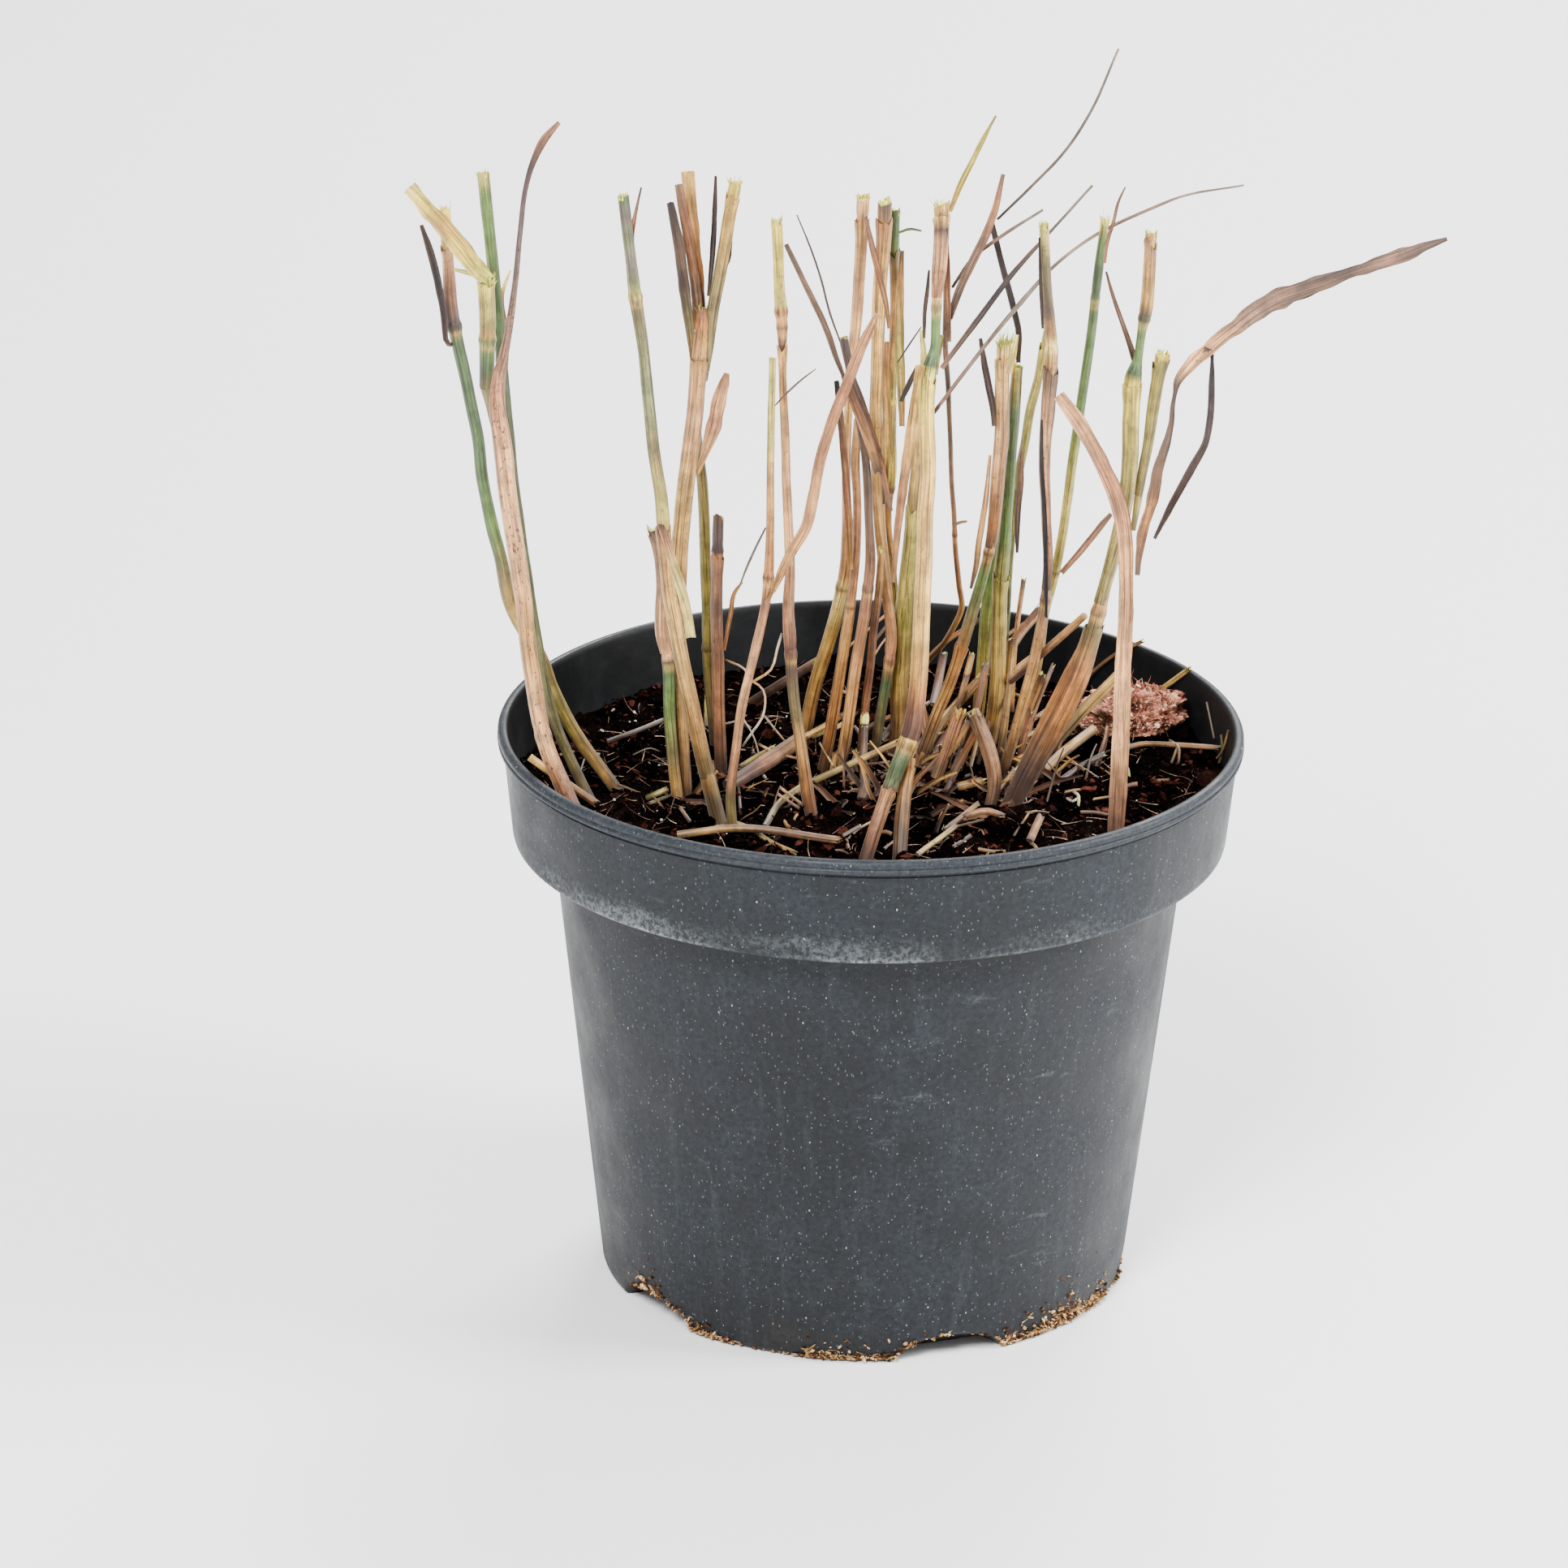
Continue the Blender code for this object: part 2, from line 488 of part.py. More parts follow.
def make_right_culms(sockets):
    strand("pith_topped_culm", "tan_culm", [
        (14.2, -14, 4), (18.7, -1.5, 4), (24.7, 14, 4), (30, 31, 4), (32.7, 40, 3.8), (36.5, 53, 3.4),
        (37.6, 58.5, 4.4), (38.5, 66, 4.8), (40, 86, 5.2), (40.8, 112, 4.8), (41.2, 117.5, 4.4)],
        -8, sockets=sockets)
    strand("green_tan_culm", "green_culm", [
        (35.2, -10.5, 4.6), (36.7, -4, 4.8), (38.2, 5, 5), (39.5, 28, 5), (40, 42, 4.8), (40.8, 54, 4.2),
        (42, 66, 3.6), (44.2, 98, 3.6), (45, 110, 3.4)], 2, sockets=sockets)
    strand("golden_green_culm", "olive_culm", [
        (32, -4, 3.6), (33.8, 12, 4), (35.1, 28, 4), (37.2, 48, 3.8), (38.4, 58, 3.2)],
        18, sides=SLIM_SIDES, sockets=sockets)
    strand("pale_green_culm", "green_culm", [
        (40, 3, 2.8), (41.8, 38, 2.8), (45, 72, 2.8), (48.9, 95, 3), (50.7, 103, 3), (54.6, 122, 2.8)],
        -8, sides=SLIM_SIDES, sockets=sockets)
    strand("black_striped_culm", "tan_culm", [
        (39.5, -17, 3.6), (42, -10, 3.6), (47.5, 9, 3.6), (52.3, 29, 3.5), (54.3, 48, 3.2), (54, 68, 3.5),
        (53.5, 79, 4), (53.6, 88, 4.6), (54.7, 97, 5.4), (55.2, 105, 5), (55.4, 119, 4.2), (54.2, 132, 3.5),
        (53.4, 153.5, 3)], -22, sockets=sockets)
    strand("slim_green_culm", "green_culm", [
        (46.2, -5.5, 3), (50.5, 14, 3.2), (54, 36, 3.2), (57.5, 51, 3.2), (61, 73, 3.2), (64.2, 96, 3.2),
        (67.5, 118, 3.2), (70, 139, 3.4), (72, 155, 2.8)], -8, sides=SLIM_SIDES, sockets=sockets)
    strand("fat_sheath_culm", "tan_culm", [
        (43, -25.5, 6), (47.2, -17, 7.4, 6.5), (51.7, -8.5, 8.6, 6.5), (57.4, 3, 9.6, 6.5), (63, 14, 9.2, 6.5),
        (66.7, 23, 7.2, 6), (69.7, 33, 5.2), (72.2, 43, 4.4), (74.2, 50, 4.8), (78.6, 70, 5.4), (80.4, 96, 6),
        (81, 108, 6), (82.3, 112.5, 2.6), (83.6, 122, 2.8), (84.6, 127, 4.4), (86.2, 151, 3.8)],
        -15, sockets=sockets)
    strand("split_half_culm", "olive_culm", [
        (80.8, 60, 1.6), (83, 73, 3), (84.7, 83, 3.4), (88.3, 106, 4.4), (89.7, 114, 4.8)],
        -12, first_back=-13.5, sides=SLIM_SIDES)
    strand("pink_flat_sheath", "pink_sheath", [
        (75, -38.6, 5, 1.6), (76.4, -16, 5.4, 1.4), (77.6, 15, 5, 1.4), (78.6, 44, 4.4, 1.2),
        (78.4, 54, 4.6, 1.2), (77.4, 63, 5, 1.2), (75.4, 70.5, 5, 1.2), (72.2, 78, 4.6, 1.2),
        (68.2, 86, 4.4, 1.2), (63, 94.5, 4.4, 1.2), (57.8, 101.5, 3.6, 1.2)], -30, sides=LEAF_SIDES,
        sockets=sockets)


def make_long_leaves():
    leaf("brown_side_leaf", "brown_leaf", [
        (24.3, 125, 1.6), (26.2, 131, 2.4), (31.7, 143.5, 2.6), (35, 150, 2.8), (38, 158, 3.2),
        (40.7, 169.5, 3.2)], -13, -5)
    leaf("dark_thin_leaf", "dark_leaf", [
        (45.4, 111.5, 1.4), (45.3, 122, 2), (44.2, 127, 2), (40.5, 141, 2), (36.7, 156.5, 1.6)], 2, -1)
    leaf("low_crossing_leaf", "brown_leaf", [
        (25, 134.6, 0.9), (31.7, 144, 1.1), (39.7, 150, 1.1), (53, 158.5, 0.8)], -9, -4)
    leaf("dark_crossing_leaf", "dark_leaf", [
        (21.7, 109.7, 1.4), (31.7, 123, 1.8), (44.2, 139.5, 1.6), (55.5, 152, 0.9), (68.2, 166, 0.8)],
        -22, 0)
    leaf("long_arching_leaf", "brown_leaf", [
        (21.4, 98.8, 1.2), (36.2, 118, 1.2), (46.2, 130, 1.5), (56.2, 141, 1), (68, 150, 1),
        (86.7, 159, 1), (94, 162, 0.8), (114.7, 166, 0.6)], -24, 10)
    leaf("long_hair_leaf", "brown_leaf", [
        (38.9, 155.5, 0.8), (48.7, 165, 0.9), (60.5, 177.5, 0.9), (67, 187.5, 0.9), (76.2, 208, 0.7)],
        -1, 4)
    leaf("large_dry_leaf", "pink_sheath", [
        (81.9, 46, 1.4), (83.2, 57, 3), (86.5, 69, 3.4), (88.2, 78, 3.6), (91.7, 89, 2), (93.4, 101, 1.3),
        (94.4, 105.5, 2.4), (98.2, 110.5, 4), (104.7, 116.5, 4), (111.5, 122, 4.4), (118, 127, 5.6),
        (125, 131, 6.4), (132, 133.5, 6), (143.5, 137.5, 4.4), (147, 138.8, 3), (155, 141.5, 3.8),
        (165, 145, 4), (177.2, 149.5, 1)], -42, 10)
    leaf("hanging_folded_leaf", "dark_leaf", [
        (105, 113, 1), (104.9, 105, 2), (104.2, 93, 2.2), (103.2, 87.5, 2), (98.5, 78.5, 2.6),
        (92.2, 67, 2.2), (87.3, 57.3, 1)], -17.5, -20)
    leaf("side_twig_leaf", "brown_leaf", [
        (74, 65, 1.2), (71.9, 62.5, 2), (65.5, 54.5, 2), (58.8, 46.8, 1.6)], -17, -12)


def make_loose_straws(sockets):
    strand("leaning_twig", "brown_leaf", [
        (65.6, 33.5, 2.2), (62, 30.3, 2.4), (52.7, 22, 2.4), (43.5, 14, 2.2)], 20, first_back=-13,
        sides=SLIM_SIDES)
    strand("olive_side_stub", "olive_culm", [
        (51.5, -11.5, 3), (54.5, -8, 3.6), (64.2, 3, 3.8), (76.7, 16, 3.2)], 24, sides=SLIM_SIDES,
        sockets=sockets)
    strand("left_rim_straw", "tan_culm", [(-105, -10, 2.4), (-96, -16.5, 2.6), (-85, -24, 2.4)],
           -26, first_back=-23, sides=SLIM_SIDES)
    strand("front_straw", "tan_culm", [(-59.5, -34, 2.4), (-43, -32, 2.5), (-10, -35.5, 2.5)],
           -54, first_back=-52, sides=SLIM_SIDES)
    strand("thick_pink_straw", "pink_sheath", [(-44.5, -19, 4.4), (-33, -12, 5), (-22.5, -5, 4.8)],
           10, first_back=-9)
    strand("slanting_grey_stub", "brown_leaf", [(-38, 6, 2.8), (-27, 13, 3), (-16.5, 19.5, 2.8)],
           50, sides=SLIM_SIDES, sockets=sockets)
    strand("right_straw", "tan_culm", [(52.5, -14.5, 2.8), (60, -8, 3), (69, -1, 3)],
           30, first_back=5, sides=SLIM_SIDES)
    strand("pale_straw", "cream_culm", [(-18, -17.5, 2.2), (-8.2, -13, 2.2), (8, -5.5, 2)],
           7, first_back=-2, sides=SLIM_SIDES)


def make_peat_lump():
    """A torn lump of fibrous peat that lies on the root ball at the back right."""
    centre = Vector((82 * MM, 44 * MM, 0))
    half = Vector((15 * MM, 9.5 * MM, 7 * MM))
    bm = bmesh.new()
    bmesh.ops.create_icosphere(bm, subdivisions=2, radius=1.0)
    for vert in bm.verts:
        p = vert.co.copy()
        rough = 1 + 0.09 * math.sin(7 * p.x + 3) * math.cos(6 * p.y) + 0.07 * math.sin(9 * p.z + 4 * p.x)
        x = centre.x + half.x * p.x * rough
        y = centre.y + half.y * p.y * rough
        vert.co = (x, y, peat_top(x, y) + 1.2 * MM + half.z * max(0.0, (p.z + 0.62) * rough))
    keep("fibrous_peat_lump", bm, "fibrous_peat", 50)


def main():
    clear_scene()
    sockets = bmesh.new()
    make_left_culms(sockets)
    make_second_culms(sockets)
    make_middle_culms(sockets)
    make_right_culms(sockets)
    make_long_leaves()
    make_loose_straws(sockets)
    make_peat_lump()
    make_pot()
    make_peat(sockets)


main()
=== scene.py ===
import math

import bpy
import numpy as np
from mathutils import Matrix, Vector


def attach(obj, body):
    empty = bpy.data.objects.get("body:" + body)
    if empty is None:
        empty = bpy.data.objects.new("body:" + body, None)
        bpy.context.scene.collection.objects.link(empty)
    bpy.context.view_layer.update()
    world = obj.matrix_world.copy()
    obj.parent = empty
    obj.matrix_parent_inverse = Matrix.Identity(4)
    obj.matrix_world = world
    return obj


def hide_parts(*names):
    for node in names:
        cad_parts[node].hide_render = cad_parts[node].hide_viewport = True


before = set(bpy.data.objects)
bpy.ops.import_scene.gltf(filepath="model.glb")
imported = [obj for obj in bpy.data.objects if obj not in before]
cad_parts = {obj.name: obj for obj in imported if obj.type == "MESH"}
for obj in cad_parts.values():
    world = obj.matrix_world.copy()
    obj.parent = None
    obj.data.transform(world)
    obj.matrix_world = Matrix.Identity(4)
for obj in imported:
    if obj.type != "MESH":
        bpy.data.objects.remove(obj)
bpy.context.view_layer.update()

MM = 0.001

# Sizes that the part's source states too
POT_HEIGHT = 178 * MM
COLLAR_FOOT = 143 * MM
BODY_TOP_RADIUS = 98 * MM
BASE_RADIUS = 82 * MM
FLAT_BASE_RADIUS = 70 * MM
DRAIN_COUNT = 5
DRAIN_FIRST_ANGLE = math.radians(-70.4)
DRAIN_HALF_ANGLE = math.radians(12)
DRAIN_RISE = 7 * MM
PEAT_LEVEL = 158 * MM
PEAT_RISE_RIGHT = 4 * MM
PEAT_UNEVEN = 1.1 * MM
ROOT_DEPTH = 6 * MM
LEAF_THICK = 0.6

# The eye that the routes are read from, and the camera
EYE_DISTANCE = 2500 * MM
EYE_TILT = math.radians(20.7)
EYE_ROLL = math.radians(0.9)
PICTURE_MIDDLE = (-26.75, -18.25)
PICTURE_WIDTH = 483 * MM
SENSOR_WIDTH = 36
RIM_CENTRE = np.array([0, 0, POT_HEIGHT])
FORWARD = np.array([0, math.cos(EYE_TILT), -math.sin(EYE_TILT)])
LEVEL_UP = np.array([0, math.sin(EYE_TILT), math.cos(EYE_TILT)])
LEVEL_RIGHT = np.array([1.0, 0, 0])
EYE = RIM_CENTRE - EYE_DISTANCE * FORWARD
SEEN_RIGHT = math.cos(EYE_ROLL) * LEVEL_RIGHT + math.sin(EYE_ROLL) * LEVEL_UP
SEEN_UP = math.cos(EYE_ROLL) * LEVEL_UP - math.sin(EYE_ROLL) * LEVEL_RIGHT

# How ragged a stalk's end is, and how much thinner the stalk is inside a sheath
RAGGED_END = {"cut": 0.5 * MM, "torn": 1.8 * MM, "point": 0.0}
WRAPPED_THINNER = 0.4 * MM

# A sheath's turns, its growth in a turn, how deep it starts, its flare and tear at the top, and its thickness
SHEATH_TURNS = 1.02
SHEATH_GROWTH = 0.32 * MM
SHEATH_SUNK = 0.22 * MM
SHEATH_FLARE = 0.4 * MM
SHEATH_TEAR = 2 * MM
SHEATH_THICK = 0.12 * MM

# The rings inside a cut end's wall: share of the radius, drop in millimetres, shade and brightness. The
# brightness paints shade inside the cut end, darkest on the ring that drops furthest
CUT_RINGS = ((0.80, 0.0, "pith", 0.92), (0.70, 0.9, "yellow_cream", 0.6), (0.40, 0.5, "pith", 0.92))

# Colours of the grass, chosen and deepened, since the soft light washes colours out
SHADES = {
    "tan": "#bf8a46", "light_tan": "#f0bd62", "gold": "#d0a044", "orange_tan": "#aa6c32",
    "red_brown": "#653b28", "pink": "#b2764e", "light_pink": "#dda26a", "grey_pink": "#86624a",
    "olive": "#78693a", "light_olive": "#bcab50", "yellow_olive": "#9a8a3a", "green": "#5f7a35",
    "grey_green": "#727a4c", "deep_green": "#425831", "brown": "#5f4632", "dull_brown": "#4b3424",
    "maroon": "#3f2723", "dark": "#2a1e1c", "black": "#160f10", "cream": "#f2d878",
    "yellow_cream": "#e8cd4a", "pith": "#ece65e", "purple_grey": "#54423e", "grey": "#857868",
    "white_root": "#eadcc0",
}


def shade(name):
    """A named shade or an sRGB hex colour, as linear red, green and blue."""
    hex_colour = SHADES.get(name, name)
    c = np.array([int(hex_colour[i:i + 2], 16) / 255 for i in (1, 3, 5)])
    return np.where(c <= 0.04045, c / 12.92, ((c + 0.055) / 1.055) ** 2.4)


def shades(names):
    """Several shades as the rows of an array."""
    return np.array([shade(name) for name in names.split()])


def vectors(*parts):
    """Arrays of numbers side by side as vectors: part i gives every vector's number i."""
    return np.stack(np.broadcast_arrays(*parts), axis=-1)


def polar(radius, angle, height=0):
    """Points at a radius and an angle about the upright axis, at a height."""
    return vectors(radius * np.cos(angle), radius * np.sin(angle), height)


def full_turn(sides):
    """The angles of evenly spaced sides round a full turn."""
    return 2 * np.pi * np.arange(sides) / sides


def unit(v):
    """Vectors divided by their own length."""
    return v / np.linalg.norm(v, axis=-1, keepdims=True)


def bell(x, width):
    """1 at zero, falling off on both sides as exp(-(x / width) squared)."""
    return np.exp(-(x / width) ** 2)


def steps(low, high, x):
    """0 at low, 1 at high, level beyond them and a smooth S between. Low may be the larger number."""
    t = np.clip((x - low) / (high - low), 0, 1)
    return t * t * (3 - 2 * t)


def blended(tint, name, share):
    """A tint with a share of a shade: tint (1 - share) + shade share."""
    share = np.asarray(share)[..., None]
    return tint * (1 - share) + shade(name) * share


def lattice_noise(points, cell, seed):
    """Smooth noise from -1 to 1: random values at the corners of cells, blended smoothly between them."""
    q = np.asarray(points, float) / cell
    low = np.floor(q).astype(np.int64)
    t = q - low
    t = t * t * (3 - 2 * t)
    total = np.zeros(q.shape[:-1])
    for corner in np.ndindex(2, 2, 2):
        at = low + corner
        code = at[..., 0] * 374761393 + at[..., 1] * 668265263 + at[..., 2] * 1274126177 + seed * 144269
        code = (code ^ (code >> 13)) * 1103515245
        value = ((code ^ (code >> 16)) & 0xffff) / 32767.5 - 1
        total += value * np.prod(np.where(corner, t, 1 - t), axis=-1)
    return total


def layered_noise(points, cell, layers, seed):
    """Lattice noise summed over layers, each half as coarse and half as strong as the one before."""
    return sum(lattice_noise(points, cell / 2 ** k, seed + k) / 2 ** k for k in range(layers))


class Surface:
    """Collects grids of points as one mesh, with a tint and a grain coordinate at each point.

    The grain coordinate has the section in x and y and the length along the piece in z, in metres.
    The tint's fourth value says how speckled the surface is there.
    """

    def __init__(self):
        self.points, self.faces, self.tints, self.grains = [], [], [], []
        self.count = 0

    def put(self, points, faces, tint, grain=None):
        """Add points, the faces between them, their tint, and their grain, or else the place as the grain."""
        points = points.reshape(-1, 3)
        tint = tint.reshape(len(points), -1)
        if tint.shape[1] == 3:
            tint = np.column_stack([tint, np.zeros(len(points))])
        self.points.append(points)
        self.tints.append(tint)
        self.grains.append(points if grain is None else grain.reshape(-1, 3))
        self.faces += [(f + self.count).tolist() for f in faces]
        self.count += len(points)

    def finish(self, name, material, sharp=55):
        """Make the mesh and its object. Edges bent by more than `sharp` degrees stay sharp."""
        mesh = bpy.data.meshes.new(name)
        mesh.from_pydata(np.concatenate(self.points), [], [f for part in self.faces for f in part])
        tint = mesh.attributes.new("tint", "FLOAT_COLOR", "POINT")
        tint.data.foreach_set("color", np.concatenate(self.tints).ravel())
        grain = mesh.attributes.new("grain", "FLOAT_VECTOR", "POINT")
        grain.data.foreach_set("vector", np.concatenate(self.grains).ravel())
        mesh.update()
        mesh.shade_smooth()
        mesh.set_sharp_from_angle(angle=math.radians(sharp))
        mesh.materials.append(material)
        piece = bpy.data.objects.new(name, mesh)
        bpy.context.scene.collection.objects.link(piece)
        return piece


def quads(rows, columns, closed):
    """The four corners of each cell of a grid whose points run along the columns first."""
    r = np.arange(rows - 1)[:, None]
    c = np.arange(columns if closed else columns - 1)[None, :]
    d = (c + 1) % columns
    corners = vectors(r * columns + c, r * columns + d, (r + 1) * columns + d, (r + 1) * columns + c)
    return corners.reshape(-1, 4)


def tube_faces(rows, sides):
    """The faces of a closed tube of rings, whose two end points come after all the rings."""
    here = np.arange(sides)
    after = (here + 1) % sides
    last = (rows - 1) * sides
    foot = vectors(after, here, rows * sides)
    top = vectors(here + last, after + last, rows * sides + 1)
    return [quads(rows, sides, True), foot, top]


def repeated(faces, count, step):
    """The same faces for each of many pieces that have `step` points each."""
    return (np.array(faces) + np.arange(count)[:, None, None] * step).reshape(-1, len(faces[0]))


def beside(path, side, face, x, y):
    """Points on a section of a strand: path + x side + y face."""
    return path + side * x[..., None] + face * y[..., None]


def skin(surface, outer, inner, tint, speck, grain):
    """A thin closed shell: two grids of the same shape, joined by strips along all four borders."""
    rows, columns = outer.shape[:2]
    half = rows * columns
    over = quads(rows, columns, False)
    index = np.arange(half).reshape(rows, columns)
    loop = np.concatenate([index[0, :-1], index[:-1, -1], index[-1, :0:-1], index[:0:-1, 0]])
    after = np.roll(loop, -1)
    rim = vectors(after, loop, loop + half, after + half)
    tint = np.column_stack([tint.reshape(half, 3), np.full(half, float(speck))])
    surface.put(np.stack([outer, inner]), [over, over[:, ::-1] + half, rim], np.stack([tint, tint]),
                np.stack([grain, grain]))


def peat_height(x, y):
    """The height of the peat: gently uneven, and higher at the right."""
    rise = steps(40 * MM, 100 * MM, x)
    waves = np.sin(61 * x + 1.3) * np.cos(53 * y) + 0.5 * np.sin(117 * x - 90 * y)
    return PEAT_LEVEL + PEAT_RISE_RIGHT * rise + PEAT_UNEVEN * waves


def sight(across, up):
    """The line of sight through a point of the picture plane, in millimetres from the rim's middle."""
    return RIM_CENTRE + across * MM * SEEN_RIGHT + up * MM * SEEN_UP - EYE


def at_height(across, up, height):
    """The point of a line of sight that is at a height."""
    ray = sight(across, up)
    return EYE + ray * ((height - EYE[2]) / ray[2])


def peat_points(route):
    """Points on the lines of sight at heights in millimetres over the peat's crumbs, 1 mm above its level."""
    return np.array([at_height(across, up, PEAT_LEVEL + (1 + lift) * MM) for across, up, lift in route])


def route_points(route, first_back, last_back):
    """The route in space: its depth goes evenly along it, from first_back to last_back."""
    if first_back is None:
        first_back = at_height(*route[0][:2], PEAT_LEVEL)[1] / MM
    plan = np.array([p[:2] for p in route], float)
    run = np.concatenate([[0], np.cumsum(np.hypot(*np.diff(plan, axis=0).T))])
    back = (first_back + (last_back - first_back) * run / run[-1]) * MM
    rays = np.array([sight(across, up) for across, up in plan])
    return EYE + rays * ((back - EYE[1]) / rays[:, 1])[:, None]


class Line:
    """A smooth line through a strand's points, with its width and depth and two directions across it.

    Between points it is the cubic that leaves each point along its neighbours' chord. As seen from the eye,
    `side` points left of an upright line and `face` points at the eye.
    """

    def __init__(self, points, widths, depths, step=1.2 * MM, tremble=0.0, seed=0):
        chord = np.linalg.norm(np.diff(points, axis=0), axis=1)
        at = np.concatenate([[0], np.cumsum(chord)])
        slope = np.gradient(points, at, axis=0)
        self.length = at[-1]
        s = np.linspace(0, self.length, max(6, int(self.length / step)))
        k = np.clip(np.searchsorted(at, s, side="right") - 1, 0, len(chord) - 1)
        h = chord[k][:, None]
        t = (s - at[k])[:, None] / h
        a, b, ma, mb = points[k], points[k + 1], slope[k] * h, slope[k + 1] * h
        path = (a * (2 * t ** 3 - 3 * t ** 2 + 1) + ma * (t ** 3 - 2 * t ** 2 + t)
                + b * (3 * t ** 2 - 2 * t ** 3) + mb * (t ** 3 - t ** 2))
        for axis in (0, 1):
            path[:, axis] += tremble * lattice_noise(vectors(s, 0, 0), 14 * MM, seed + 7 * axis)
        self.run = unit(np.gradient(path, axis=0))
        self.side = unit(np.cross(self.run, path - EYE))
        self.face = np.cross(self.run, self.side)
        self.s, self.path = s, path
        soft = np.array([1, 2, 3, 2, 1]) / 9
        self.width, self.depth = (
            np.convolve(np.pad(np.interp(s, at, v), 2, mode="edge"), soft, mode="valid") * MM
            for v in (widths, depths))

    def at(self, s):
        """The path, its side and face directions, its width and its depth at any lengths along the line."""
        along = [vectors(*(np.interp(s, self.s, one) for one in values.T))
                 for values in (self.path, self.side, self.face)]
        return *along, np.interp(s, self.s, self.width), np.interp(s, self.s, self.depth)


def strand_line(route, tip_back, first_back, flat=False, **settings):
    """The line of a stalk or leaf, rooted in the peat where no first_back is given."""
    points = route_points(route, first_back, tip_back)
    if first_back is None:
        slope = unit(points[0] - points[1])
        points[0] = points[0] + slope * (ROOT_DEPTH / -slope[2])
    widths = [p[2] for p in route]
    depths = [LEAF_THICK if flat else p[-1] for p in route]
    return Line(points, widths, depths, **settings)


def tint_along(look, share):
    """Colours along a piece, blended between the shades that its look names.

    The look's first shade stands at the start and its last one at the end. Each one between them has the
    percent of the length where it stands before its name.
    """
    keys = [key.split() for key in look.split(", ")]
    places = [0, *(float(percent) / 100 for percent, _ in keys[1:-1]), 1]
    colours = np.array([shade(key[-1]) for key in keys])
    return vectors(*(np.interp(share, places, one) for one in colours.T))


def culm(surface, line, look, speck, seed, joints=(), top="cut", sides=18, wrapped=()):
    """A stalk: an ellipse carried along the line, uneven by 5 %, with six faint ribs, swollen at its joints.

    Each joint is (share, swelling, shade). A cut top has a wall, a step down and rough pith inside it,
    darkened there as painted shade.
    Where a sheath is wrapped round the stalk, between two shares of its length, the stalk is thinner.
    """
    angle = full_turn(sides)
    s = line.s[:, None]
    share = s / line.length
    path, side, face, width, depth = line.at(s)
    ring = polar(1, angle, s / (9 * MM))
    uneven = 1 + 0.05 * lattice_noise(ring, 1.0, seed) + 0.018 * np.cos(angle * 6 + seed)
    streak = lattice_noise(ring * [2.2, 2.2, 0.22], 1.0, seed + 5)
    tint = tint_along(look, share) * (1 + 0.16 * streak[..., None])
    for place, swelling, name in joints:
        # A swollen ring with a groove and a pale band just past it
        away = (s - place * line.length) / MM
        uneven = uneven + swelling * bell(away, 1.1) - 0.05 * bell(away - 2.4, 0.9)
        tint = blended(tint, name, 0.85 * bell(away, 0.8))
        tint = blended(tint, "light_tan", 0.4 * bell(away + 2.0, 1.0))
    thinner = WRAPPED_THINNER * sum(steps(start - 0.01, start + 0.02, share)
                                    * steps(end + 0.01, end - 0.01, share) for start, end in wrapped)
    x = (uneven * width / 2 - thinner) * np.cos(angle)
    y = (uneven * depth / 2 - thinner) * np.sin(angle)
    points = beside(path, side, face, x, y)
    grain = vectors(x, y, s)
    wall = points[-1] - line.path[-1]
    run = line.run[-1]
    jag = RAGGED_END[top] * lattice_noise(polar(2.3, angle), 1.0, seed + 9)
    points[-1] += jag[:, None] * run
    # Each point of the stalk as one row: place, tint, speckle and grain
    rings = [np.concatenate([points, tint, np.full(tint.shape[:2] + (1,), float(speck)), grain], axis=-1)]
    for ratio, drop, name, painted_shade_factor in CUT_RINGS if top != "point" else ():
        rough = 0.25 * MM * lattice_noise(polar(5, angle), 1.0, seed + int(10 * ratio))
        inside = line.path[-1] + wall * ratio + (jag * ratio - drop * MM + rough)[:, None] * run
        # Painted shade inside the cut end: each ring's colour times its brightness
        colour = np.tile(shade(name) * painted_shade_factor, (sides, 1))
        rings.append([np.column_stack([inside, colour, np.zeros(sides), grain[-1] * [ratio, ratio, 1]])])
    rings = np.concatenate(rings)
    foot = [*line.path[0], *rings[0, 0, 3:6], 0, 0, 0, 0]
    tip = [*rings[-1, :, :3].mean(axis=0), *rings[-1, 0, 3:6], 0, 0, 0, line.length]
    rows = np.concatenate([rings.reshape(-1, 10), [foot, tip]])
    surface.put(rows[:, :3], tube_faces(len(rings), sides), rows[:, 3:7], rows[:, 7:])


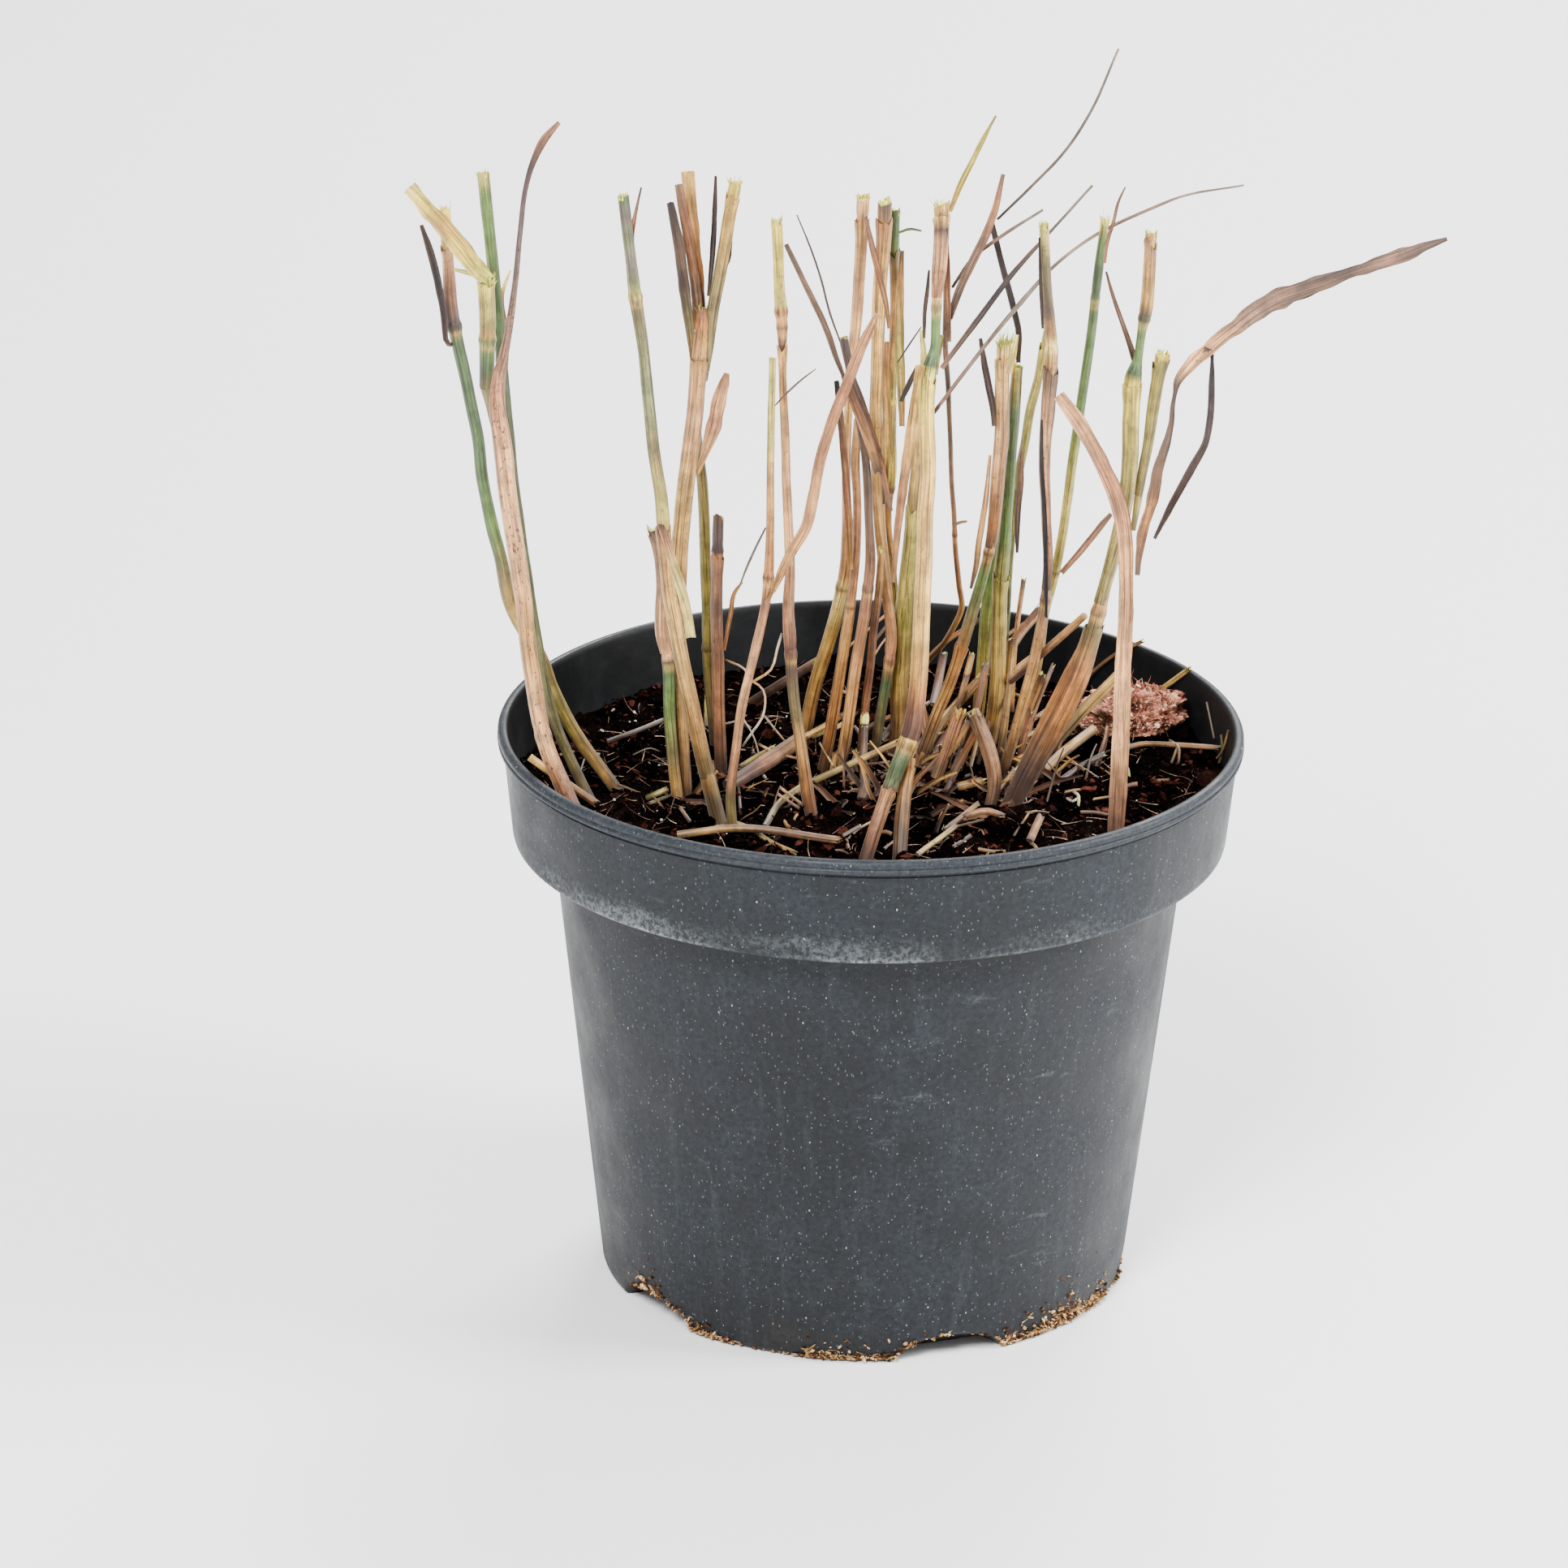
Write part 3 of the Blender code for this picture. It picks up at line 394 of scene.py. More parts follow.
def sheath(surface, line, start, end, open_at, look, speck, seed):
    """A leaf base wrapped round a culm: a spiral that grows in its one turn, so that one edge lies free.

    It runs from one share of the length to another, its upper edge is torn, and it flares there. Both its side
    edges are darkened as painted shade.
    """
    columns = 20
    rows = max(6, int((end - start) * line.length / (1.8 * MM)))
    t = np.linspace(0, 1, rows)[:, None]
    w = np.linspace(0, 1, columns)[None, :]
    angle = math.radians(open_at) + 2 * np.pi * SHEATH_TURNS * w
    around = polar(1.6, angle)
    tear = SHEATH_TEAR * (lattice_noise(around, 1.0, seed) + 0.5 * lattice_noise(around, 0.3, seed + 1))
    s = start * line.length + t * ((end - start) * line.length + tear)
    path, side, face, width, depth = line.at(s)
    place = polar(1, angle, s / (7 * MM))
    rough = 0.08 * MM * lattice_noise(place, 1.0, seed + 2)
    away = SHEATH_GROWTH * w - SHEATH_SUNK + SHEATH_FLARE * steps(0.86, 1.0, t) ** 2 + rough
    x, y = np.cos(angle), np.sin(angle)
    outer, inner = (beside(path, side, face, (width / 2 + away - thin) * x, (depth / 2 + away - thin) * y)
                    for thin in (0, SHEATH_THICK))
    streak = lattice_noise(place * [2.5, 2.5, 0.16], 1.0, seed + 3)
    # Painted shade: darker, down to 72 %, along the two side edges where the sheath laps over itself and the
    # stalk
    edge = np.clip(np.minimum(w, 1 - w) / 0.06, 0, 1)
    tint = tint_along(look, t) * ((1 + 0.14 * streak) * (0.72 + 0.28 * edge))[..., None]
    skin(surface, outer, inner, tint, speck, vectors(width / 2 * x, depth / 2 * y, s))


def blade(surface, line, look, speck, seed, fold, ragged, thick=0.22):
    """A dry leaf: a thin V across the line, with a pale midrib, a wavy outline and rippled edges.

    At x from -1 to 1 across it stands off the line by half its width times fold |x|^1.3.
    """
    x = np.linspace(-1, 1, 11)[None, :]
    s = line.s[:, None]
    path, side, face, width, _ = line.at(s)
    half = width / 2 * (1 + ragged * lattice_noise(vectors(np.sign(x) * 5, 0, s / (4 * MM)), 1.0, seed))
    ripple = 0.12 * lattice_noise(vectors(x * 1.2, 0, s / (8 * MM)), 1.0, seed + 3) * np.abs(x)
    height = half * (fold * np.abs(x) ** 1.3 + ripple)
    points = beside(path, side, face, half * x, height)
    off = face * (thick * MM / 2)
    rib = 1 + 0.22 * bell(x, 0.16) - 0.18 * np.abs(x) ** 6
    streak = lattice_noise(vectors(x * 3, 0, s / (30 * MM)), 1.0, seed + 4)
    tint = tint_along(look, s / line.length) * (rib * (1 + 0.13 * streak))[..., None]
    skin(surface, points - off, points + off, tint, speck, vectors(half * x, height, s))


def fibres(surface, roots, directions, lengths, radius, tint, bend, seed):
    """Many thin tapering threads at once: each a three-sided spike that bends more towards its tip."""
    rng = np.random.default_rng(seed)
    count, rows = len(roots), 5
    t = np.linspace(0, 1, rows)[None, :, None]
    sway = rng.normal(0, 1, (count, 1, 3)) * bend
    path = roots[:, None] + (directions[:, None] * t + sway * t ** 2) * lengths[:, None, None]
    side = unit(np.cross(directions, rng.normal(0, 1, (count, 3))))
    face = np.cross(directions, side)
    thick = radius[:, None, None, None] * (1 - 0.85 * t[..., None])
    x, y, _ = polar(1, full_turn(3)).T[..., None]
    points = path[:, :, None] + thick * (side[:, None, None] * x + face[:, None, None] * y)
    tip = (rows - 1) * 3 + np.arange(3)
    faces = [repeated(one, count, rows * 3) for one in (quads(rows, 3, True), [[2, 1, 0]], [tip])]
    surface.put(points, faces, np.broadcast_to(tint[:, None, None], points.shape).reshape(-1, 3))


def frayed_top(surface, line, count, length, seed):
    """Torn pith fibres that stand up round a culm's cut end, rooted `sunk` millimetres inside it."""
    rng = np.random.default_rng(seed + 50)
    sunk = 1.2
    angle = rng.uniform(0, 2 * np.pi, count)
    inside = np.sqrt(rng.uniform(0.25, 1, count)) * 0.92
    half = line.width[-1] / 2
    across = beside(0, line.side[-1], line.face[-1], np.cos(angle) * inside * half,
                    np.sin(angle) * inside * line.depth[-1] / 2)
    way = unit(line.run[-1] + 0.35 * across / half + rng.normal(0, 0.12, (count, 3)))
    roots = line.path[-1] + across - line.run[-1] * sunk * MM
    lengths = rng.uniform(0.45, 1.0, count) * (length + sunk) * MM
    colours = shade("pith") * rng.uniform(0.75, 1.05, (count, 1))
    fibres(surface, roots, way, lengths, rng.uniform(0.14, 0.38, count) * MM, colours, 0.18, seed)


def node(tree, kind, links=None, out=0, stops=(), **settings):
    """Add a node with its settings, link or set its inputs, and give one of its outputs.

    A hex colour is given as text. A colour ramp's two stops are (place, grey).
    """
    made = tree.nodes.new(kind)
    for key, value in settings.items():
        setattr(made, key, value)
    for place, value in (links or {}).items():
        if isinstance(value, bpy.types.NodeSocket):
            tree.links.new(value, made.inputs[place])
        else:
            made.inputs[place].default_value = (*shade(value), 1) if isinstance(value, str) else value
    for i, (place, grey) in enumerate(stops):
        made.color_ramp.elements[i].position = place
        made.color_ramp.elements[i].color = (grey, grey, grey, 1)
    return made.outputs[out]


def new_material(name, roughness, **sockets):
    """A material with a Principled shader, and its node tree and shader."""
    material = bpy.data.materials.new(name)
    material.use_nodes = True
    shader = material.node_tree.nodes["Principled BSDF"]
    for key, value in {"Roughness": roughness, **sockets}.items():
        shader.inputs[key.replace("_", " ")].default_value = value
    return material, material.node_tree, shader


def grass_material(name, fibre_mm, roughness, sheen):
    """Dry grass stalk or leaf: long cells give fine lines along it, about fibre_mm wide, with mildew specks.

    The eye gets a dull, silky strand, striped along its length, with a few reddish seams, soft light and dark
    patches and brown dots where the tint's fourth value is high.
    """
    material, tree, shader = new_material(name, roughness, Sheen_Weight=sheen)
    tint = node(tree, "ShaderNodeAttribute", attribute_name="tint")
    grain = node(tree, "ShaderNodeAttribute", out="Vector", attribute_name="grain")
    place = node(tree, "ShaderNodeTexCoord", out="Object")
    line = 1 / (fibre_mm * MM)
    # Lines one cell wide, streaks three and seams two cells wide, patches of 6 mm and dots of 0.5 mm to 1 mm.
    # Real mildew dots are finer. Each row: place, its stretch, noise scale and detail, and the ramp's stops.
    fields = [
        (grain, (line, line, line * 0.025), 1.0, 2.0, 0.55, (0.34, 0.45), (0.6, 1.2)),
        (grain, (line * 0.3, line * 0.3, line * 0.012), 1.0, 3.0, 0.55, (0.36, 0.42), (0.6, 1.22)),
        (place, (1, 1, 1), 160.0, 3.0, 0.55, (0.4, 0.55), (0.6, 1.16)),
        (grain, (line * 0.5, line * 0.5, line * 0.007), 1.0, 1.0, 0.55, (0.58, 0.0), (0.66, 0.75)),
        (place, (1, 1, 0.55), 1100.0, 3.0, 0.6, (0.58, 0.0), (0.66, 1.0)),
    ]
    noises, ramps = [], []
    for where, stretch, scale, detail, rough, *stops in fields:
        spot = node(tree, "ShaderNodeVectorMath", {0: where, 1: stretch}, operation="MULTIPLY")
        noises.append(node(tree, "ShaderNodeTexNoise", {"Vector": spot, "Scale": scale, "Detail": detail,
                                                        "Roughness": rough}))
        ramps.append(node(tree, "ShaderNodeValToRGB", {0: noises[-1]}, stops=stops))
    lines, streaks, patches, seams, dots = ramps
    mildew = node(tree, "ShaderNodeMath", {0: dots, 1: tint.node.outputs["Alpha"]}, operation="MULTIPLY")
    colour = tint
    for blend, factor, over in (("MULTIPLY", 0.85, lines), ("MULTIPLY", 0.85, streaks),
                                ("MULTIPLY", 0.7, patches), ("MULTIPLY", seams, "#8a5f45"),
                                ("MIX", mildew, "#43291f")):
        colour = node(tree, "ShaderNodeMix", {0: factor, 6: colour, 7: over}, 2, data_type="RGBA",
                      blend_type=blend, clamp_factor=True)
    tree.links.new(colour, shader.inputs["Base Color"])
    under = node(tree, "ShaderNodeBump", {"Height": noises[1], "Strength": 0.6, "Distance": 0.25 * MM})
    relief = node(tree, "ShaderNodeBump", {"Height": noises[0], "Strength": 0.6, "Distance": 0.14 * MM,
                                           "Normal": under})
    tree.links.new(relief, shader.inputs["Normal"])
    return material


def pot_material():
    """Moulded black polypropylene, used outdoors: satin where clean, grey with dust, lime and scuffs.

    The eye gets a charcoal skin under a haze of dust, with drip marks, pale scuffs, a chalky line under the
    collar and splashed grit. The wall's inside is plain and nearly black, painted shade inside the pot.
    """
    material, tree, shader = new_material("moulded_black_polypropylene", 0.5, Specular_IOR_Level=0.22)
    place = node(tree, "ShaderNodeTexCoord", out="Object")
    tint = node(tree, "ShaderNodeAttribute", attribute_name="tint")
    grain = node(tree, "ShaderNodeAttribute", out="Vector", attribute_name="grain")
    outside = node(tree, "ShaderNodeSeparateXYZ", {0: grain})
    # Dust clouds of 33 mm, drip lines 4 mm wide, scuffs 26 mm wide and 7 mm tall, and grime of 1.6 mm
    cloud, drips, scuff, grime = (
        node(tree, "ShaderNodeTexNoise",
             {"Vector": node(tree, "ShaderNodeVectorMath", {0: place, 1: stretch}, operation="MULTIPLY"),
              "Scale": scale, "Detail": detail, "Roughness": rough})
        for stretch, scale, detail, rough in (
            ((1, 1, 1), 30.0, 6.0, 0.66), ((1, 1, 0.07), 230.0, 4.0, 0.6),
            ((0.45, 0.45, 1.8), 85.0, 5.0, 0.75), ((1, 1, 1), 620.0, 5.0, 0.75)))
    dust, drip, scuffed, dirt, chalk, inner = (
        node(tree, "ShaderNodeValToRGB", {0: field}, stops=stops) for field, *stops in (
            (cloud, (0.42, 0.0), (0.78, 0.5)), (drips, (0.55, 0.0), (0.82, 0.22)),
            (scuff, (0.62, 0.0), (0.8, 0.4)), (grime, (0.36, 0.3), (0.64, 1.7)),
            (grime, (0.44, 0.1), (0.58, 1.0)), (outside, (0.0, 0.75), (1.0, 0.0))))
    lime = node(tree, "ShaderNodeMath", {0: chalk, 1: tint.node.outputs["Alpha"]}, operation="MULTIPLY")
    layers = [("MIX", dust, "#2c3137"), ("MIX", drip, "#3d4349"), ("MIX", scuffed, "#5d646a"),
              ("MULTIPLY", 0.7, dirt), ("MIX", lime, "#8f9698")]
    # Splashed grit up to 0.5 mm across, some drawn out upwards as fine fibres, on the outside only. Four
    # cells of ten have a grain, which reaches at most `size` of its cell
    for cell, tall, size, hex_colour in ((760.0, 1.0, 0.2, "#5c6264"), (560.0, 0.45, 0.13, "#5d5242"),
                                         (1000.0, 0.5, 0.28, "#3e4549"), (430.0, 0.6, 0.11, "#8c908e")):
        spot = node(tree, "ShaderNodeVectorMath", {0: place, 1: (1, 1, tall)}, operation="MULTIPLY")
        away = node(tree, "ShaderNodeTexVoronoi", {"Vector": spot, "Scale": cell, "Randomness": 1.0})
        lot = node(tree, "ShaderNodeSeparateColor", {0: away.node.outputs["Color"]})
        reach = node(tree, "ShaderNodeMath", {0: lot.node.outputs[1], 1: size}, operation="MULTIPLY")
        seen = node(tree, "ShaderNodeMath", {0: away, 1: reach}, operation="LESS_THAN")
        for allowed in (node(tree, "ShaderNodeMath", {0: lot, 1: 0.6}, operation="GREATER_THAN"), outside):
            seen = node(tree, "ShaderNodeMath", {0: seen, 1: allowed}, operation="MULTIPLY")
        layers.append(("MIX", seen, hex_colour))
    colour = tint
    # The last layer covers the wall's inside with a near black: painted shade inside the pot
    for blend, factor, over in layers + [("MIX", inner, "#0b0c0d")]:
        colour = node(tree, "ShaderNodeMix", {0: factor, 6: colour, 7: over}, 2, data_type="RGBA",
                      blend_type=blend, clamp_factor=True)
    tree.links.new(colour, shader.inputs["Base Color"])
    rough = node(tree, "ShaderNodeMapRange", {0: cloud, 1: 0.35, 2: 0.7, 3: 0.42, 4: 0.68})
    tree.links.new(rough, shader.inputs["Roughness"])
    under = node(tree, "ShaderNodeBump", {"Height": cloud, "Strength": 0.25, "Distance": 1.5 * MM})
    relief = node(tree, "ShaderNodeBump", {"Height": grime, "Strength": 0.3, "Distance": 0.1 * MM,
                                           "Normal": under})
    tree.links.new(relief, shader.inputs["Normal"])
    return material


def peat_material():
    """Damp peat and composted bark: dark grains under a millimetre, matt with a little wet gloss.

    The eye gets a nearly black, gritty bed with reddish brown patches and a wet glint on a few grains.
    """
    material, tree, shader = new_material("damp_peat_and_bark", 0.45)
    place = node(tree, "ShaderNodeTexCoord", out="Object")
    # Grains of 0.9 mm and patches of 6 mm. Real peat dust is finer still, too fine to show here
    grit, patch = (
        node(tree, "ShaderNodeTexNoise",
             {"Vector": place, "Scale": scale, "Detail": detail, "Roughness": rough})
        for scale, detail, rough in ((1100.0, 5.0, 0.75), (160.0, 4.0, 0.6)))
    colour = node(tree, "ShaderNodeAttribute", attribute_name="tint")
    for field, factor, *stops in ((grit, 0.9, (0.34, 0.35), (0.64, 1.6)),
                                  (patch, 0.8, (0.36, 0.4), (0.64, 1.4))):
        over = node(tree, "ShaderNodeValToRGB", {0: field}, stops=stops)
        colour = node(tree, "ShaderNodeMix", {0: factor, 6: colour, 7: over}, 2, data_type="RGBA",
                      blend_type="MULTIPLY", clamp_factor=True)
    glint = node(tree, "ShaderNodeValToRGB", {0: grit}, stops=((0.62, 0.0), (0.74, 0.35)))
    under = node(tree, "ShaderNodeBump", {"Height": patch, "Strength": 0.7, "Distance": 1.0 * MM})
    relief = node(tree, "ShaderNodeBump", {"Height": grit, "Strength": 0.9, "Distance": 0.5 * MM,
                                           "Normal": under})
    for name, value in (("Base Color", colour), ("Specular IOR Level", glint), ("Normal", relief)):
        tree.links.new(value, shader.inputs[name])
    return material


CULM_SKIN = grass_material("dry_grass_culm_grown_ribbed", 0.35, 0.5, 0.1)
LEAF_SKIN = grass_material("dry_grass_leaf_papery", 0.22, 0.62, 0.2)
POT_PLASTIC = pot_material()
PEAT = peat_material()


def straight(start, end, first_share, count):
    """Points along a straight stretch of a profile, from a share of its length to its end."""
    share = np.linspace(first_share, 1, count)[:, None]
    return start + (np.array(end) - start) * share


def pot_profile():
    """Radius and height of the pot's skin, from the base's middle, out, up and back inside."""
    return MM * np.array([
        # The flat base and the rounded foot
        (20, 0), (45, 0), (62, 0), (70, 0), (72.5, 0), (75, 0), (77.5, 0), (79.5, 0.15), (80.9, 0.6),
        (81.7, 1.4), (82.1, 2.5), *straight((82.1, 2.5), (97.6, 139.5), 0.02, 42),
        # Under the collar
        (97.9, 141.2), (98.5, 142.3), (99.8, 142.8), (104, 142.9), (107.6, 143), (109.3, 143.3), (110.1, 144),
        (110.4, 145.2), *straight((110.4, 145.2), (113.1, 171.6), 0.03, 30),
        # The rim's groove, bead and lip
        (113.15, 172.2), (112.85, 172.5), (112.9, 172.9), (113.4, 173.2), (114.3, 173.5), (114.9, 174),
        (115, 174.7), (114.85, 175.1), (114.55, 175.3), (114.6, 175.6), (114.9, 175.9), (114.9, 176.7),
        (114.6, 177.4), (114.1, 177.8), (113.5, 178), (112.7, 178), (112.2, 177.8), (111.9, 177.3),
        # Down the inside
        (111.7, 176),
        *straight((111.7, 176), (108.8, 147.2), 0.1, 10), (108.4, 145.7), (107.4, 144.9), (104, 144.7),
        (99, 144.5), (97, 144), (96.4, 142.8), *straight((96.4, 142.8), (80.6, 5.5), 0.05, 20), (80.2, 3.6),
        (79.3, 2.4), (77.8, 1.9), (75, 1.8), (72.5, 1.8), (70, 1.8), (62, 1.8), (20, 1.8),
    ])


def body_radius(height):
    """The outer radius of the pot's straight wall at a height under the collar."""
    return BASE_RADIUS + (BODY_TOP_RADIUS - BASE_RADIUS) * height / COLLAR_FOOT


def drain_arch(angle):
    """The height of the drain arches at an angle about the pot: rise sqrt(1 - (turn / half width)^2)."""
    apart = 2 * math.pi / DRAIN_COUNT
    turn = (angle - DRAIN_FIRST_ANGLE + apart / 2) % apart - apart / 2
    return DRAIN_RISE * np.sqrt(np.clip(1 - (turn / DRAIN_HALF_ANGLE) ** 2, 0, None))


def drain_lift(radius, height, angle):
    """Raise the corner between wall and base into an arch at each drain, and crowd the wall above it."""
    from_base = np.clip((radius - FLAT_BASE_RADIUS) / (9 * MM), 0, 1)
    lift = drain_arch(angle) * from_base * np.clip(1 - height / (45 * MM), 0, 1)
    return radius + body_radius(lift) - BASE_RADIUS, height + lift


def turned_surface(surface, profile, sides, move, tint, grain=None):
    """A closed skin turned about Z, with a point on the axis at each end of its profile."""
    angle = full_turn(sides)
    radius, height = move(profile[:, :1], profile[:, 1:], angle[None])
    points = polar(radius, angle, height)
    poles = points[[0, -1]].mean(axis=1) * [0, 0, 1]
    every = np.concatenate([points.reshape(-1, 3), poles])
    surface.put(every, tube_faces(len(profile), sides), tint(every), grain and grain(every))


def is_outside(points):
    """1 on the pot's outer skin and 0 on its inner skin, parted by a line up the middle of the wall."""
    radius, z = np.hypot(points[:, 0], points[:, 1]), points[:, 2]
    inside_body = body_radius(z) - 0.9 * MM
    inside_collar = 109.6 * MM + (z - 145 * MM) * 0.1
    return (radius > np.where(z < COLLAR_FOOT, inside_body, inside_collar)).astype(float)


def pot_tint(points):
    """Charcoal outside, lighter on the rim as a painted highlight, black inside with painted shade, with lime
    under the collar and mud at the foot.
    """
    radius, z = np.hypot(points[:, 0], points[:, 1]), points[:, 2]
    outer = is_outside(points)
    # Black inside and charcoal outside; the inside's darker black is painted shade inside the pot
    tint = blended(shade("#090a0b"), "#111418", outer)
    tint = blended(tint, "#111519", steps(142 * MM, 144 * MM, z) * outer)
    # Painted highlight: the rim's groove, bead and lip are lighter, as where the light falls on the rim
    tint = blended(tint, "#22262b", steps(172 * MM, 174 * MM, z) * (radius > 112.4 * MM))
    # Darker towards the bottom: by 40 % at 3 mm and below, fading out by 34 mm
    tint = tint * (1 - 0.4 * steps(34 * MM, 3 * MM, z))[:, None]
    mud = steps(13 * MM, 1 * MM, z + 5 * MM * lattice_noise(points, 9 * MM, 8)) * outer
    tint = blended(tint, "#2c241d", mud * np.clip(0.45 + lattice_noise(points, 24 * MM, 9), 0, 0.8))
    # A wavy line of lime where water dries under the collar, and a weaker spray above it
    wave = 0.5 * MM * (lattice_noise(points, 16 * MM, 4) + lattice_noise(points, 3 * MM, 5))
    drying = bell(z - 144.3 * MM - wave, 0.85 * MM)
    spray = 0.34 * bell(z - 147 * MM - 3 * wave, 3.4 * MM)
    lime = np.maximum(drying, spray) * outer * (z > 142.9 * MM)
    patches = np.clip(0.5 + 0.9 * layered_noise(points, 26 * MM, 3, 6), 0.06, 1)
    left = 0.35 + 0.65 * steps(70 * MM, -60 * MM, points[:, 0])
    front = 0.4 + 0.6 * steps(40 * MM, -60 * MM, points[:, 1])
    return np.column_stack([tint, lime * patches * left * front])


def make_pot():
    """The pot: its profile turned about Z, its foot raised into the drain arches."""
    surface = Surface()
    turned_surface(surface, pot_profile(), 240, drain_lift, pot_tint,
                   lambda points: vectors(is_outside(points), 0, 0))
    return surface.finish("moulded_nursery_pot", POT_PLASTIC, 45)


def peat_surface_height(x, y):
    """The peat's top with its lumps and crumbs, a millimetre or two high."""
    flat = vectors(x, y, 0)
    rough = layered_noise(flat, 10 * MM, 5, 11)
    clods = np.abs(layered_noise(flat, 5 * MM, 4, 21))
    return peat_height(x, y) + (1.4 * rough - 2.0 * clods + 0.6) * MM


def make_peat():
    """The root ball: turned about Z as the pot's inside, with a rough top that is heaped against the wall."""
    surface = Surface()
    # Radius and height up the side, in millimetres
    side = np.array([(20, 2.3), (69.4, 2.3), (80.6, 12.5), (95.6, 145.3), (106.5, 145.3), (108.4, 147),
                     (109.3, 152)]) * MM
    top = vectors(109.5 * MM * np.linspace(1, 0.01, 130), PEAT_LEVEL)

    def move(radius, height, angle):
        """Lift the top into its lumps, heaped by up to 1.5 mm near the wall."""
        x, y = radius * np.cos(angle), radius * np.sin(angle)
        heaped = 1.5 * MM * steps(100 * MM, 109 * MM, radius) * lattice_noise(vectors(x, y, 0), 12 * MM, 31)
        return radius, np.where(height >= PEAT_LEVEL - MM, peat_surface_height(x, y) + heaped, height)

    def tint(points):
        """Nearly black, with brown patches."""
        warm = np.clip(0.4 + 0.9 * layered_noise(points, 12 * MM, 3, 41), 0, 1)
        fibre = np.clip(lattice_noise(points, 22 * MM, 43) * 1.4 - 0.5, 0, 1)
        return blended(blended(shade("#030202"), "#0b0605", warm), "#170d0a", fibre)

    turned_surface(surface, np.concatenate([side, top]), 360, move, tint)
    return surface.finish("damp_peat_root_ball", PEAT, 80)


def ball(level):
    """The corners and triangles of an icosahedron, each triangle cut in four and pushed out, level times."""
    g = (1 + 5 ** 0.5) / 2
    points = unit(np.array([(-1, g, 0), (1, g, 0), (-1, -g, 0), (1, -g, 0), (0, -1, g), (0, 1, g),
                            (0, -1, -g), (0, 1, -g), (g, 0, -1), (g, 0, 1), (-g, 0, -1), (-g, 0, 1)]))
    faces = np.array([(0, 11, 5), (0, 5, 1), (0, 1, 7), (0, 7, 10), (0, 10, 11), (1, 5, 9), (5, 11, 4),
                      (11, 10, 2), (10, 7, 6), (7, 1, 8), (3, 9, 4), (3, 4, 2), (3, 2, 6), (3, 6, 8),
                      (3, 8, 9), (4, 9, 5), (2, 4, 11), (6, 2, 10), (8, 6, 7), (9, 8, 1)])
    for _ in range(level):
        sides = np.sort(np.concatenate([faces[:, [0, 1]], faces[:, [1, 2]], faces[:, [2, 0]]]), axis=1)
        pairs, which = np.unique(sides, axis=0, return_inverse=True)
        ab, bc, ca = which.reshape(3, -1) + len(points)
        a, b, c = faces.T
        faces = np.concatenate([vectors(*three) for three in
                                ((a, ab, ca), (b, bc, ab), (c, ca, bc), (ab, bc, ca))])
        points = unit(np.concatenate([points, points[pairs].mean(axis=1)]))
    return points, faces


def crumbs(surface, places, sizes, tints, seed, stretch, flatness=0.7):
    """Many rough crumbs at once: small balls, squashed, stretched, turned and dented at random."""
    rng = np.random.default_rng(seed)
    points, faces = ball(0)
    count = len(places)
    dent = rng.uniform(0.65, 1.2, (count, len(points), 1))
    squash = rng.uniform([1, 0.7, flatness * 0.6], [stretch, 1.2, flatness], (count, 3))[:, None]
    form = points * dent * squash
    turn = rng.uniform(0, 2 * np.pi, (count, 1))
    tip = rng.normal(0, 0.35, (count, 2))
    x, y, z = form[..., 0], form[..., 1], form[..., 2]
    c, s = np.cos(turn), np.sin(turn)
    form = vectors(x * c - y * s, x * s + y * c, z + tip[:, :1] * x + tip[:, 1:] * y)
    every = form * sizes[:, None, None] / 2 + places[:, None]
    surface.put(every, [repeated(faces, count, len(points))], np.broadcast_to(tints[:, None], every.shape))


def scattered(rng, count, radius):
    """Places at random in a round area."""
    r = radius * np.sqrt(rng.uniform(0, 1, count))
    a = rng.uniform(0, 2 * np.pi, count)
    return r * np.cos(a), r * np.sin(a)


def make_crumbs():
    """Peat crumbs and bark chips lying on the root ball."""
    rng = np.random.default_rng(3)
    surface = Surface()
    colours = shades("#030202 #060403 #0c0706 #170b09 #2a130e #40211a #090504 #040303")
    for count, low, high, seed in ((5600, 0.5, 1.7, 1), (1100, 1.3, 3.0, 2), (130, 3.0, 5.6, 3)):
        x, y = scattered(rng, count, 108 * MM)
        size = rng.uniform(low, high, count) * MM
        keep = np.hypot(x, y) + size * 0.8 < 109 * MM
        x, y, size = x[keep], y[keep], size[keep]
        place = vectors(x, y, peat_surface_height(x, y) + 0.2 * size)
        chosen = colours[rng.integers(0, len(colours), len(x))] * rng.uniform(0.6, 1.5, (len(x), 1))
        crumbs(surface, place, size, chosen, seed, 1.9)
    return surface.finish("peat_crumbs_and_bark", PEAT, 30)


# White grains seen on the peat, as (across, up) in the picture's plane
PERLITE = [(-82.8, -1.8), (-79.5, 4.5), (-72.8, 3.8), (-72.5, 1.2), (-79, -23), (-68.2, -11.8),
           (-65.2, -12.5), (-64.5, -29.2), (62.2, -22.2), (6.8, 9), (-32.8, -16), (-84, -9), (-57, 6),
           (-47.5, -27), (52, -30.5), (71, -14), (29, -36)]
STREWN_PERLITE = 60


def make_perlite():
    """White puffed grains, half a millimetre to a millimetre and a half across."""
    rng = np.random.default_rng(8)
    surface = Surface()
    by_hand = peat_points([(across, up, 0.6) for across, up in PERLITE])
    x, y = scattered(rng, STREWN_PERLITE, 104 * MM)
    strewn = vectors(x, y, peat_surface_height(x, y) + 0.4 * MM)
    sizes = MM * np.concatenate([rng.uniform(0.9, 1.6, len(PERLITE)), rng.uniform(0.35, 0.9, STREWN_PERLITE)])
    tints = shade("#cfcabd") * rng.uniform(0.55, 1.0, (len(sizes), 1))
    crumbs(surface, np.concatenate([by_hand, strewn]), sizes, tints, 5, 1.2, flatness=1.0)
    return surface.finish("perlite_grains", PEAT, 30)


